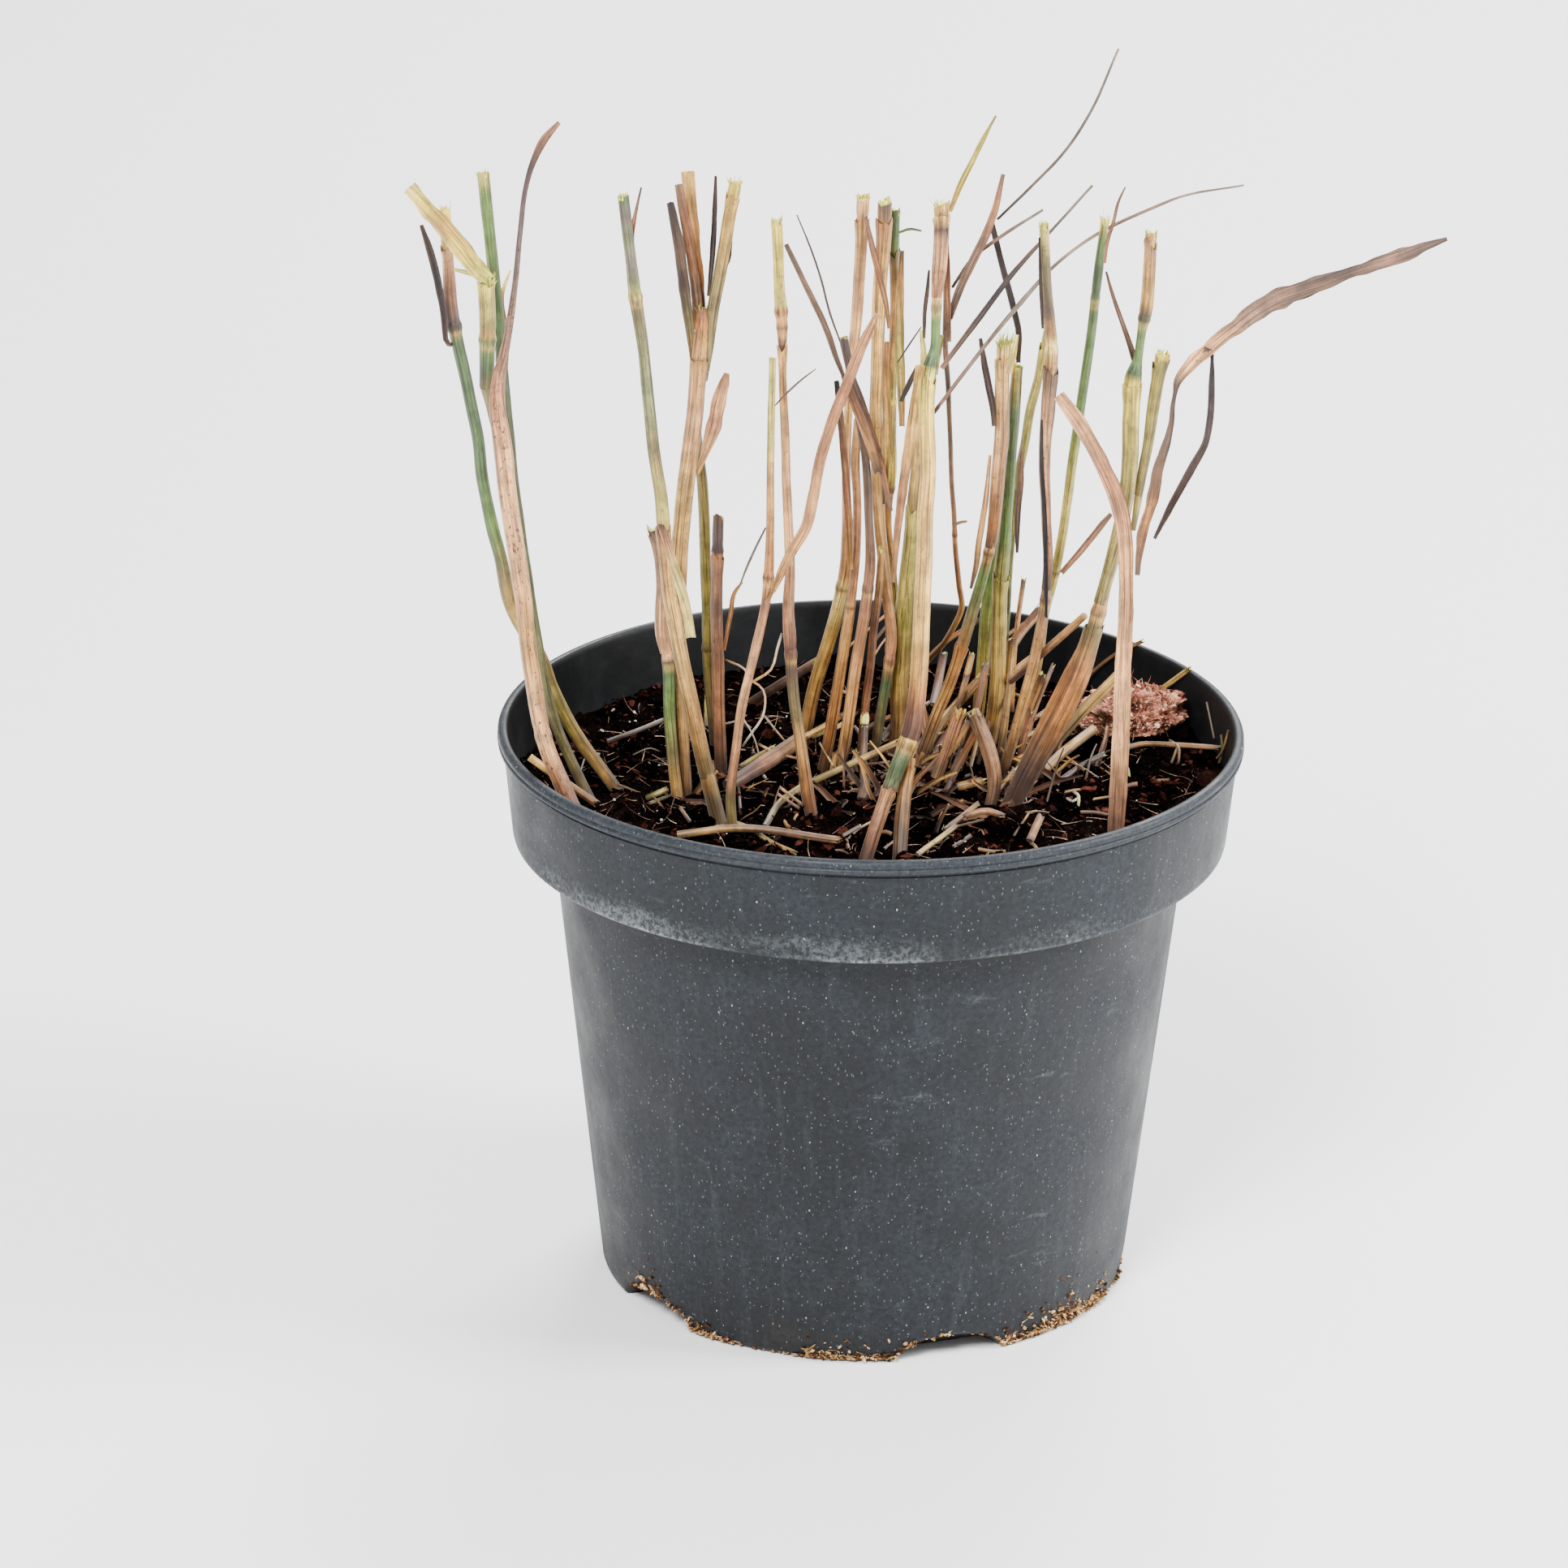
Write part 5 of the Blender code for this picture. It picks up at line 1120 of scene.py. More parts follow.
            "brown, 40 pink, grey_pink", sheaths=[(0.15, 0.96, 70, "dull_brown, 50 light_pink, brown")],
            top="torn")],
    "pith_topped_culm": [
        stalk(-8, [(14.2, -14, 3.7), (18.7, -1.5, 3.8), (24.7, 14, 3.8), (30, 31, 3.8), (32.7, 40, 3.6),
            (36.5, 53, 3.2), (37.6, 58.5, 4), (38.5, 66, 4.3), (40, 86, 4.7), (40.8, 112, 4.5),
            (41.2, 117.5, 4.2)], "brown, 10 tan, 30 orange_tan, 40 olive, 50 green, 56 tan, 70 orange_tan, "
            "90 light_pink, cream", joints=[(0.545, 0.16, "red_brown")], sheaths=[(0.56, 0.97, 105,
            "brown, 12 orange_tan, 50 light_pink, light_tan"), (0.08, 0.33, 60, "brown, 50 tan, "
            "orange_tan")], top="torn", fray=60, fray_length=3.6, speck=0.5),
        leaf(-11, [(38, 92, 1.4), (37.5, 98, 2), (36.3, 104, 2.2), (34.8, 112, 2), (33.7, 119, 1)],
            "brown, 50 maroon, dull_brown", first=-8.5, fold=0.8),
        leaf(-8.5, [(36.7, 83, 1), (35.2, 68, 1.8), (33.4, 57, 2), (32.2, 48, 1.8), (30.8, 42, 0.8)],
            "light_pink, 60 tan, brown", first=-11, fold=0.7),
        leaf(-11, [(42.6, 108, 2), (43.8, 114, 2.2), (45, 120, 1)], "light_tan, pith", first=-11,
            fold=0.3)],
    "green_tan_culm": [
        stalk(2, [(35.2, -10.5, 4.6), (36.7, -4, 4.8), (38.2, 5, 5), (39.5, 28, 5), (40, 42, 4.8),
            (40.8, 54, 4.2), (42, 66, 3.6), (44.2, 98, 3.6), (45, 110, 3.4)], "brown, 12 tan, 30 gold, "
            "45 light_olive, 60 green, 90 deep_green, light_olive", sheaths=[(0.08, 0.5, 90, "tan, "
            "light_olive")], top="torn", fray=24),
        leaf(-3, [(45, 53, 0.8), (45.2, 64, 1.9), (46.1, 75, 2), (46.6, 84.5, 0.9)], "maroon, 40 brown, "
            "grey_pink", first=-4, fold=0.9)],
    "golden_green_culm": [
        stalk(18, [(32, -4, 3.6), (33.8, 12, 4), (35.1, 28, 4), (37.2, 48, 3.8), (38.4, 58, 3.2)], "gold, "
            "40 yellow_olive, 80 green, olive")],
    "pale_green_culm": [
        stalk(-8, [(40, 3, 2.8), (41.8, 38, 2.8), (45, 72, 2.8), (48.9, 95, 3), (50.7, 103, 3),
            (54.6, 122, 2.8)], "olive, 30 grey_green, 70 green, light_olive", sheaths=[(0.3, 0.96, 120,
            "grey_green, light_olive")], top="torn", fray=12)],
    "black_striped_culm": [
        stalk(-22, [(39.5, -17, 3.4), (42, -10, 3.4), (47.5, 9, 3.4), (52.3, 29, 3.3), (54.3, 48, 3),
            (54, 68, 3.3), (53.5, 79, 3.6), (53.6, 88, 4), (54.7, 97, 4.6), (55.2, 105, 4.4),
            (55.4, 119, 3.8), (54.2, 132, 3.3), (53.4, 153.5, 2.9)], "brown, 20 tan, 40 grey_pink, "
            "60 pink, 72 grey_pink, 78 tan, 80 cream, 82 tan, 86 brown, 93 olive, light_olive",
            joints=[(0.36, 0.12, "dark"), (0.79, 0.1, "cream")], sheaths=[(0.38, 0.76, 145, "dull_brown, "
            "30 pink, 60 light_pink, brown")], top="torn", fray=12, speck=0.7),
        leaf(-25, [(54, 33, 0.8), (53.8, 48, 1.4), (53.5, 64, 1.4), (52.6, 80, 1.3), (52.6, 94, 0.7)],
            "black, 50 black, dark", first=-20, fold=0.9),
        leaf(-25.5, [(52.9, 122, 0.8), (52.3, 134, 1.1), (51.9, 150, 0.6)], "maroon, dark", first=-25,
            fold=0.9)],
    "slim_green_culm": [
        stalk(-8, [(46.2, -5.5, 2.8), (50.5, 14, 3), (54, 36, 3), (57.5, 51, 3), (61, 73, 3), (64.2, 96, 3),
            (67.5, 118, 2.9), (70, 139, 3), (72, 155, 2.6)], "brown, 15 tan, 35 light_olive, "
            "50 light_olive, 65 green, 90 deep_green, 97 green, light_olive", joints=[(0.36, 0.12, "brown"),
            (0.86, 0.1, "light_olive")], top="torn", fray=18, fray_length=2.2, speck=0.4),
        leaf(-3, [(72, 142, 0.7), (73, 149.5, 1.2), (74.7, 155, 1.1), (76.2, 161, 0.9), (78.3, 165.5, 0.4)],
            "pink, grey_pink", first=-8.5, fold=0.7)],
    "fat_sheath_culm": [
        stalk(-15, [(43, -25.5, 5.5), (47.2, -17, 6.8, 5.5), (51.7, -8.5, 8, 5.5), (57.4, 3, 8.8, 5.5),
            (63, 14, 8.6, 5.5), (66.7, 23, 6.6, 5), (69.7, 33, 4.8), (72.2, 43, 4.1), (74.2, 50, 4.4),
            (78.6, 70, 5), (80.4, 96, 5.4), (81, 107, 5.4), (82.3, 112.5, 2.6), (83.6, 122, 2.8),
            (84.6, 127, 4.2), (86.2, 151, 3.6)], "brown, 8 orange_tan, 20 tan, 30 orange_tan, 36 olive, "
            "40 tan, 45 olive, 60 yellow_olive, 72 light_olive, 76.5 yellow_cream, 77.5 deep_green, "
            "86 green, 88 brown, 90 gold, tan", joints=[(0.385, 0.12, "brown"),
            (0.865, 0.14, "dull_brown")], sheaths=[(0.04, 0.365, 60, "dull_brown, 25 brown, 50 orange_tan, "
            "75 orange_tan, olive"), (0.4, 0.755, 110, "olive, 30 light_olive, 70 yellow_olive, "
            "yellow_cream"), (0.872, 0.985, 150, "brown, 20 gold, 80 tan, grey_pink")], top="torn", fray=16,
            speck=0.5),
        leaf(-12, [(81.2, 112.5, 2.2), (79.7, 117, 1.7), (78, 122, 1.5), (74.2, 133, 1.2),
            (72.4, 139.5, 0.6)], "brown, 50 grey_pink, brown", first=-14, fold=0.9)],
    "split_half_culm": [
        stalk(-12, [(80.8, 60, 1.6), (83, 73, 3), (84.7, 83, 3.4), (88.3, 106, 4.4), (89.7, 114, 4.8)],
            "olive, 50 light_olive, yellow_cream", first=-13.5, sheaths=[(0.2, 0.95, 130, "olive, "
            "yellow_olive")], top="torn", fray=20)],
    "pink_flat_sheath": [
        leaf(-30, [(75, -38.6, 5), (76.4, -16, 5.4), (77.6, 15, 5), (78.6, 44, 4.4), (78.4, 54, 4.6),
            (77.4, 63, 5), (75.4, 70.5, 5), (72.2, 78, 4.6), (68.2, 86, 4.4), (63, 94.5, 4.4),
            (57.8, 101.5, 3.6)], "brown, 10 pink, 30 light_pink, 60 light_pink, 80 pink, light_pink",
            fold=0.55, thick=0.9)],
    "brown_side_leaf": [
        leaf(-5, [(24.3, 125, 1.6), (26.2, 131, 2.4), (31.7, 143.5, 2.6), (35, 150, 2.6), (38, 158, 2.3),
            (40.7, 169.5, 1.2)], "brown, 50 grey_pink, 80 pink, grey_pink", first=-13, fold=0.8),
        leaf(-12.9, [(23.1, 121.5, 1.2), (23.8, 124, 1.7), (24.7, 127, 1.6)], "brown, brown", first=-10.2)],
    "dark_thin_leaf": [
        leaf(-1, [(45.4, 111.5, 1.4), (45.3, 122, 2), (44.2, 127, 2), (40.5, 141, 2), (36.7, 156.5, 1.6)],
            "dull_brown, 40 dark, maroon", first=2, fold=0.9)],
    "low_crossing_leaf": [
        leaf(-4, [(25, 134.6, 0.9), (31.7, 144, 1.1), (39.7, 150, 1.1), (53, 158.5, 0.8)], "dull_brown, "
            "50 grey_pink, grey", first=-9, fold=0.8)],
    "dark_crossing_leaf": [
        leaf(0, [(21.7, 109.7, 1.4), (31.7, 123, 1.8), (44.2, 139.5, 1.6), (55.5, 152, 0.9),
            (68.2, 166, 0.8)], "grey_pink, 20 dull_brown, 40 dark, 60 dull_brown, grey", first=-22,
            fold=0.8),
        leaf(-16, [(9.2, 99.5, 1), (11.8, 105, 2), (14.3, 110.3, 1)], "dark, dull_brown", first=-19,
            fold=0.9),
        leaf(-14, [(8.2, 111.5, 0.4), (11.8, 117, 0.6), (15.5, 122.5, 0.4)], "dull_brown, purple_grey",
            first=-16, fold=0.9)],
    "long_arching_leaf": [
        leaf(10, [(21.4, 98.8, 1.2), (36.2, 118, 1.2), (46.2, 130, 1.5), (56.2, 141, 1), (68, 150, 1),
            (86.7, 159, 1), (94, 162, 0.8), (114.7, 166, 0.6)], "grey_pink, 40 grey, 70 grey_pink, grey",
            first=-24, fold=0.8),
        leaf(-16.5, [(21.6, 99.2, 1.1), (20.4, 97.4, 1.3), (18.8, 95.4, 1)], "grey_pink, brown",
            first=-24)],
    "long_hair_leaf": [
        leaf(4, [(38.9, 155.5, 0.8), (48.7, 165, 0.9), (60.5, 177.5, 0.9), (67, 187.5, 0.9),
            (76.2, 208, 0.7)], "dull_brown, grey", first=-1, fold=0.8)],
    "large_dry_leaf": [
        leaf(10, [(81.9, 46, 1.4), (83.2, 57, 3), (86.5, 69, 3.4), (88.2, 78, 3.6), (91.7, 89, 2),
            (93.4, 101, 1.3), (94.4, 105.5, 2.4), (98.2, 110.5, 4), (104.7, 116.5, 4), (111.5, 122, 4.4),
            (118, 127, 5.6), (125, 131, 6.4), (132, 133.5, 6), (143.5, 137.5, 4.4), (147, 138.8, 3),
            (155, 141.5, 3.8), (165, 145, 4), (177.2, 149.5, 1)], "brown, 10 orange_tan, 25 brown, "
            "38 dull_brown, 42 light_pink, 50 light_pink, 56 grey_pink, 80 dull_brown, 86 grey_pink, "
            "maroon", first=-42, fold=0.45, ragged=0.2, speck=0.6)],
    "hanging_folded_leaf": [
        leaf(-20, [(105, 113, 1), (104.9, 105, 2), (104.2, 93, 2.2), (103.2, 87.5, 2), (98.5, 78.5, 2.6),
            (92.2, 67, 2.2), (87.3, 57.3, 1)], "dark, 40 purple_grey, 70 dull_brown, purple_grey",
            first=-17.5, fold=1),
        leaf(-17.3, [(105, 112.2, 1), (104.7, 114.8, 1.3), (103, 115.8, 1.2), (100.8, 113.4, 0.9)],
            "dark, grey_pink", first=-17.5)],
    "side_twig_leaf": [
        leaf(-12, [(74, 65, 1.2), (71.9, 62.5, 2), (65.5, 54.5, 2), (58.8, 46.8, 1.6)], "grey_pink, pink",
            first=-17, fold=0.8)],
    "leaning_twig": [
        stalk(20, [(65.6, 33.5, 2.2), (62, 30.3, 2.4), (52.7, 22, 2.4), (43.5, 14, 2.2)], "tan, grey_pink",
            first=-13, top="torn")],
    "olive_side_stub": [
        stalk(24, [(51.5, -11.5, 3), (54.5, -8, 3.6), (64.2, 3, 3.8), (76.7, 16, 3.2)], "brown, 40 olive, "
            "light_tan", top="torn")],
    "left_rim_straw": [
        stalk(-26, [(-105, -10, 2.4), (-96, -16.5, 2.6), (-85, -24, 2.4)], "light_tan, pink", first=-23,
            top="torn")],
    "front_straw": [
        stalk(-54, [(-59.5, -34, 2.4), (-43, -32, 2.5), (-10, -35.5, 2.5)], "light_tan, 40 tan, light_pink",
            first=-52, top="torn")],
    "thick_pink_straw": [
        stalk(10, [(-44.5, -19, 4.4), (-33, -12, 5), (-22.5, -5, 4.8)], "brown, 50 pink, tan", first=-9,
            top="torn")],
    "slanting_grey_stub": [
        stalk(50, [(-38, 6, 2.8), (-27, 13, 3), (-16.5, 19.5, 2.8)], "dull_brown, grey_pink", top="torn")],
    "right_straw": [
        stalk(30, [(52.5, -14.5, 2.8), (60, -8, 3), (69, -1, 3)], "tan, light_tan", first=5, top="torn")],
    "pale_straw": [
        stalk(7, [(-18, -17.5, 2.2), (-8.2, -13, 2.2), (8, -5.5, 2)], "cream, light_tan", first=-2,
            top="torn")],
}


def darken_feet_shade_and_stain(surface, height, strength):
    """Darken what stands in the damp peat, partly a damp stain and partly painted shade near the peat: full
    strength at its foot, gone at a ragged line at the height.
    """
    points, tints = np.concatenate(surface.points), np.concatenate(surface.tints)
    above = points[:, 2] - peat_height(points[:, 0], points[:, 1])
    ragged = above + 0.25 * height * lattice_noise(points * [1, 1, 0.25], 1.5 * MM, 71)
    # A damp soil stain, and painted shade where the stalks crowd together near the peat
    tints[:, :3] = blended(tints[:, :3], "#341d10", strength * steps(height, -0.1 * height, ragged))
    surface.points, surface.tints = [points], [tints]


def make_strand(number, name, forms):
    """One strand of the table as its own piece, with the material of its main form."""
    surface = Surface()
    for k, (grow, _) in enumerate(forms):
        grow(surface, number * 13 + k * 101)
    # Painted shade and a damp stain darken the feet near the peat
    darken_feet_shade_and_stain(surface, 30 * MM, 0.82)
    return surface.finish(name + "_grown", forms[0][1])


# Loose straws and stubs on the peat: two shades, the width, and a route of (across, up, height over the peat)
LITTER = [
    ("light_tan tan", 2, (20.5, 0.8, 9), (27.2, 7.2, 16), (33.5, 15, 24)),
    ("light_tan tan", 2.4, (29.2, 14.2, 14), (31.2, 21.8, 20)),
    ("brown grey_pink", 2, (23, -20.5, 0), (27.2, -8.8, 7), (31, 0.8, 14)),
    ("brown tan", 3, (41.8, 21, 22), (46.2, 28.2, 26), (53, 36, 30)),
    ("olive tan", 2, (45, -13.8, 1), (47.2, -3, 8), (50.5, 10.8, 16)),
    ("tan light_tan", 1.4, (47.2, -3.8, 8), (52.8, -1.2, 9)),
    ("light_tan tan", 1, (48, -6.2, 6), (51.8, -4.8, 6)),
    ("pink tan", 0.8, (48, 2, 11.5), (54.8, 2.8, 11.5)),
    ("brown tan", 1.6, (48.2, 0.2, 10), (54.8, 5.2, 13)),
    ("tan light_tan", 0.9, (58, -8, 4), (65.8, -14.2, 3)),
    ("brown dull_brown", 2, (58.8, -16.8, 1), (64.2, -13, 3), (71.8, -9.2, 5)),
    ("pink light_pink", 1.1, (64.8, -0.8, 5), (79.2, -1.8, 5)),
    ("grey_pink tan", 1.4, (64.5, 12.5, 3), (69.2, 17, 7.8), (75.5, 21.8, 14.6), (83.9, 25.8, 21.7)),
    ("light_pink light_pink", 2.8, (48.8, -35.8, 1), (52.5, -28, 4)),
    ("brown tan", 0.8, (44.2, -34.2, 1), (48.8, -26.8, 3)),
    ("light_tan cream", 1.8, (14.2, -40, 1), (26.2, -31, 3)),
    ("brown tan", 1.8, (23, -32.2, 2), (33, -24.2, 4)),
    ("dull_brown brown", 0.9, (24.2, -31.8, 1), (34.8, -29.2, 3)),
    ("light_pink pink", 2.2, (29.2, -28.2, 3), (35.5, -26.5, 5), (40.5, -28, 3)),
    ("light_tan tan", 2.8, (26.8, -19.2, 3), (34.8, -17.2, 5)),
    ("yellow_olive gold", 1.4, (39.2, -18.2, 3), (43.5, -16, 5)),
    ("tan light_tan", 1.4, (43, -15.5, 3), (47.2, -11.2, 6)),
    ("dull_brown red_brown", 2.8, (18.2, -14.2, 1), (21.8, -5.5, 8), (25.8, 0, 12)),
    ("light_pink pink", 0.8, (20.5, -3, 10), (24.2, -1.8, 10)),
    ("pink light_pink", 0.8, (20.5, -6.8, 8), (24.8, -5.2, 8)),
    ("brown grey_pink", 3, (19.2, 6.2, 14), (21, 14.5, 18), (22.5, 22, 24)),
    ("tan light_pink", 1.75, (79.2, -7, 5), (81.8, -6.2, 5), (94.2, -6.2, 6), (106.8, -7, 7)),
    ("light_tan cream", 2, (84.5, 7.4, 3.5), (90.2, 11.5, 11), (98.2, 17.2, 20.2)),
    ("grey olive", 0.8, (103.5, 7, 15), (105.8, -4.2, 6)),
    ("deep_green olive", 1, (108, -3, 11.5), (108.3, -8, 6.6), (106.8, -13, 1)),
    ("tan tan", 0.8, (110, -1.8, 15), (108.6, -7, 9), (106.1, -11.1, 2)),
    ("light_olive tan", 1, (91.8, -4.8, 6), (94.8, -7.2, 6), (94.8, -11.8, 3)),
    ("tan olive", 0.9, (94.2, -7.2, 6), (92.5, -11.8, 3)),
    ("light_tan tan", 1, (88, -17.2, 2), (91.8, -17, 2)),
    ("tan tan", 0.7, (85.5, -17.8, 1), (87.5, -16.2, 3)),
    ("pith pith", 1, (78, -12.8, 3), (79.2, -14.2, 4), (79.5, -16.8, 2)),
    ("white_root pith", 1.1, (62.5, -20.5, 2), (64.2, -23, 3), (63.8, -26, 1)),
    ("white_root white_root", 0.9, (60.2, -22.6, 1), (62.6, -23.4, 3), (64, -22.4, 3)),
    ("pith cream", 1.2, (101.8, -11.2, 4), (102.5, -13.8, 2)),
    ("light_tan tan", 2.2, (-21.2, -4.2, 6.5), (-15.2, -1, 9.5), (-8.2, 3.2, 13.5)),
    ("light_olive olive", 1.6, (-18.2, -3.8, 7), (-13.2, -1.8, 8)),
    ("cream light_tan", 1.6, (-11.2, -1, 9), (-7.8, 0.8, 10)),
    ("light_olive yellow_olive", 1.8, (-40.2, -13, 3), (-37, -11, 4), (-29.5, -6.8, 6)),
    ("olive light_olive", 2.2, (-32.5, -31.2, 0), (-27, -23, 2), (-18.8, -17.2, 5)),
    ("light_pink tan", 1, (-28.2, -19.2, 4), (-20.8, -24.8, 3)),
    ("light_pink pink", 1, (-28.8, -21.2, 3), (-22, -25.8, 2)),
    ("light_tan pink", 0.9, (-34.5, -6, 8), (-29.5, -8.5, 7), (-22, -10.5, 7)),
    ("tan light_tan", 0.7, (-15.8, -5.5, 8), (-11.5, -13, 5)),
    ("tan light_tan", 1.6, (5.5, 11.2, 14), (11.8, 16.2, 17)),
    ("brown pink", 2.4, (3, -4.8, 6), (6.8, 0, 9), (11, 5, 12)),
    ("grey_pink brown", 2.4, (-2.5, -17.2, 0), (-1.8, 0, 16)),
    ("pith cream", 3, (-2, 0, 16), (-1.8, 3.5, 19)),
    ("grey_pink purple_grey", 3.4, (-2.8, -23, 0), (-2, -19.8, 2), (-1.2, -16.2, 5)),
    ("pink brown", 2.2, (-7, -16.8, 1), (-3.8, -8, 6)),
    ("cream light_tan", 1.6, (-41.5, -30.2, 2), (-37, -32, 3), (-30.8, -36, 1), (-23.2, -39.5, 1)),
    ("red_brown brown", 1.4, (-8.8, -34.2, -0.5), (-3.2, -31.2, 0.5)),
    ("olive light_olive", 1.5, (-50.8, -0.5, 3), (-50.5, 9, 10)),
    ("tan light_tan", 1.6, (-50, 1.5, 4), (-48.5, 12, 12)),
    ("green light_olive", 1.9, (-69, -22.5, 2), (-65.8, -21.2, 4), (-62.8, -19.8, 4)),
    ("light_olive green", 1.2, (-68.2, -24.2, 0.5), (-62.5, -22, 1.5)),
    ("tan light_tan", 1, (-95.8, -9.2, 2), (-91.2, -8.2, 3)),
    ("olive olive", 0.7, (-90.2, -16.8, 1), (-88.2, -10.5, 4)),
    ("brown tan", 0.6, (-78.2, -18.5, 0), (-72.2, -20.5, 0)),
    ("tan brown", 1.2, (-58.8, -25.5, 1), (-55.8, -29.8, 1)),
    ("dull_brown grey", 1.6, (-81.2, -5.2, 0.5), (-72, -1.8, 1.5), (-63.2, 1.8, 1.5)),
    ("grey grey", 0.5, (-73.2, -9.2, 1), (-68.2, -7.2, 3), (-65.2, -8.2, 1)),
    ("pith cream", 2.4, (5, 10.8, 13), (7.5, 7.8, 12)),
    ("brown tan", 2.8, (18.9, -18.1, 0), (24.4, -8.5, 9), (29.9, 0.7, 18)),
    ("brown orange_tan", 2.4, (23.8, -19.2, 0), (28.3, -10, 9), (32.7, -1.5, 18)),
    ("brown pink", 2.2, (13.9, -7, 0), (25, 5.5, 11), (36, 17.3, 22), (52, 36, 40)),
    ("olive tan", 2.6, (16, -12, 0), (22.7, 0.7, 12), (36, 16.2, 27)),
    ("tan orange_tan", 1.8, (12.5, 4, 2), (17.2, 19.5, 18), (33.8, 32.8, 32)),
    ("brown tan", 1.8, (33, -12, 0), (43.7, 16.2, 28), (52, 22.8, 34)),
    ("brown gold", 2.8, (39.5, -12, 0), (40.6, -4.8, 8), (43.7, 26, 38)),
    ("brown tan", 2.6, (41.5, -11.5, 0), (47, 0.7, 12), (52.6, 15, 27)),
    ("brown pink", 2.2, (44.8, -13.7, 0), (49.3, 4, 18)),
    ("tan light_pink", 1.8, (43.4, 4, 7.5), (44.8, 29.4, 33.5), (47, 45, 48.5)),
    ("tan light_pink", 1, (-9, 22, 24), (-1, 29, 31), (6.1, 35, 36)),
    ("brown tan", 1.2, (1.2, 26, 27), (7, 33, 33), (12.8, 38.3, 38)),
    ("brown tan", 2, (-1.6, -1.5, 6), (4, 1.5, 9), (10.6, 4, 11)),
    ("light_tan cream", 1, (3.9, 11.7, 14), (13.9, 18.4, 20)),
    ("brown orange_tan", 2.4, (27, -14, 1), (33, 6, 22), (35.5, 19, 34)),
    ("olive tan", 2.2, (21.5, -9, 3), (27, 6, 18), (29.5, 15, 26)),
    ("tan grey_pink", 1.6, (47, -9, 2), (51, 6, 17), (56, 18, 28)),
    ("brown tan", 1.5, (34, 22, 20), (41, 27, 25), (50, 33, 31)),
    ("brown tan", 1.2, (11.8, -21.8, 2), (16.8, -13, 6)),
    ("olive tan", 1.6, (30.5, -13, 1), (33, -3, 9)),
    ("brown orange_tan", 1.4, (37.2, -23, 1), (44.2, -13.8, 5)),
    ("white_root light_tan", 0.9, (-27.5, 28.2, 37.5), (-29, 23.2, 32.5), (-30.8, 17, 27.5),
     (-37, 12.8, 23.5)),
    ("light_pink white_root", 0.8, (-38.2, 14.5, 25), (-33.2, 10.8, 22), (-33.2, 3.2, 15), (-37, -3, 9),
     (-39.5, -6.8, 5)),
    ("white_root light_pink", 0.7, (-33.2, 3.2, 15), (-29.5, -1.5, 10), (-26.2, -5.5, 6)),
    ("light_tan white_root", 0.8, (-45, 20, 30), (-38.8, 17, 27), (-36.5, 13.5, 24)),
    ("white_root tan", 0.5, (-40, 3, 14), (-36, -4, 9), (-34, -11, 4)),
    ("light_pink tan", 0.7, (0, 20, 24), (5, 27, 28), (10, 31, 30)),
]


def make_litter():
    """The loose straws among the culms' feet, and a few short bits strewn at random."""
    rng = np.random.default_rng(21)
    surface = Surface()
    for k, (two_shades, width, *route) in enumerate(LITTER):
        low, high = two_shades.split()
        # Drawn a little thinner than read, and flattened
        wide, deep = 0.88 * width, 0.5 * width
        line = Line(peat_points(route), [wide] * len(route), [deep] * len(route), step=2 * MM,
                    tremble=0.15 * MM, seed=k)
        culm(surface, line, f"brown, 12 {low}, 85 {high}, dull_brown", 0.8, k, sides=10,
             top="torn" if wide > 1.2 else "point")
    names = "tan brown pink dull_brown grey_pink light_tan red_brown".split()
    for k in range(110):
        x, y = rng.normal(10, 48) * MM, rng.normal(-5, 45) * MM
        length, turn = rng.uniform(2.5, 12) * MM, rng.uniform(0, 2 * np.pi)
        if math.hypot(x, y) + length > 104 * MM:
            continue
        t = np.linspace(0, 1, 3)
        x, y = x + t * length * math.cos(turn), y + t * length * math.sin(turn)
        width = rng.uniform(0.4, 1.3)
        height = peat_surface_height(x, y) + (width / 2 + rng.uniform(0, 1.5) * t) * MM
        line = Line(vectors(x, y, height), [width] * 3, [width * 0.6] * 3, step=2 * MM)
        culm(surface, line, f"{names[k % 7]}, {names[k * 3 % 7]}", 0.6, k, sides=6)
    tangle(surface, rng, 90, (34, 3), (17, 15), 23)
    tangle(surface, rng, 34, (2, 2), (13, 13), 20)
    tangle(surface, rng, 26, (-50, -12), (9, 11), 14)
    # Painted shade and a damp stain darken the straws near the peat
    darken_feet_shade_and_stain(surface, 13 * MM, 0.7)
    return surface.finish("loose_straws", CULM_SKIN)


def tangle(surface, rng, count, middle, spread, reach):
    """Dry leaf strips and thin broken stalks that lean in all directions among the culms' feet."""
    names = "brown pink orange_tan grey_pink tan red_brown light_tan".split()
    for k in range(count):
        x, y = rng.normal(middle, spread) * MM
        length = rng.uniform(0.25, 1.0) * reach * MM
        turn, rise = rng.uniform(0, 2 * np.pi), rng.uniform(0.05, 1.15)
        if math.hypot(x, y) > 80 * MM:
            continue
        foot = vectors(x, y, peat_surface_height(np.array([x]), y) - 0.4 * MM)
        way = polar(math.cos(rise), turn, math.sin(rise))
        sag = vectors(0, 0, -0.18 * math.cos(rise))
        t = np.linspace(0, 1, 4)[:, None]
        points = foot + length * (way * t + sag * t ** 2 + rng.normal(0, 0.03, (4, 3)) * t)
        widths = rng.uniform(0.5, 2.1) * np.array([1, 1, 0.9, 0.35])
        look = f"dull_brown, 25 {names[k % 7]}, {names[k * 5 % 7]}"
        if k % 3:
            line = Line(points, widths, [LEAF_THICK] * 4, step=2 * MM)
            blade(surface, line, look, 0.6, k, fold=0.9, ragged=0.12)
        else:
            line = Line(points, 0.6 * widths, 0.6 * widths, step=2.5 * MM)
            culm(surface, line, look, 0.6, k, top="point", sides=6)


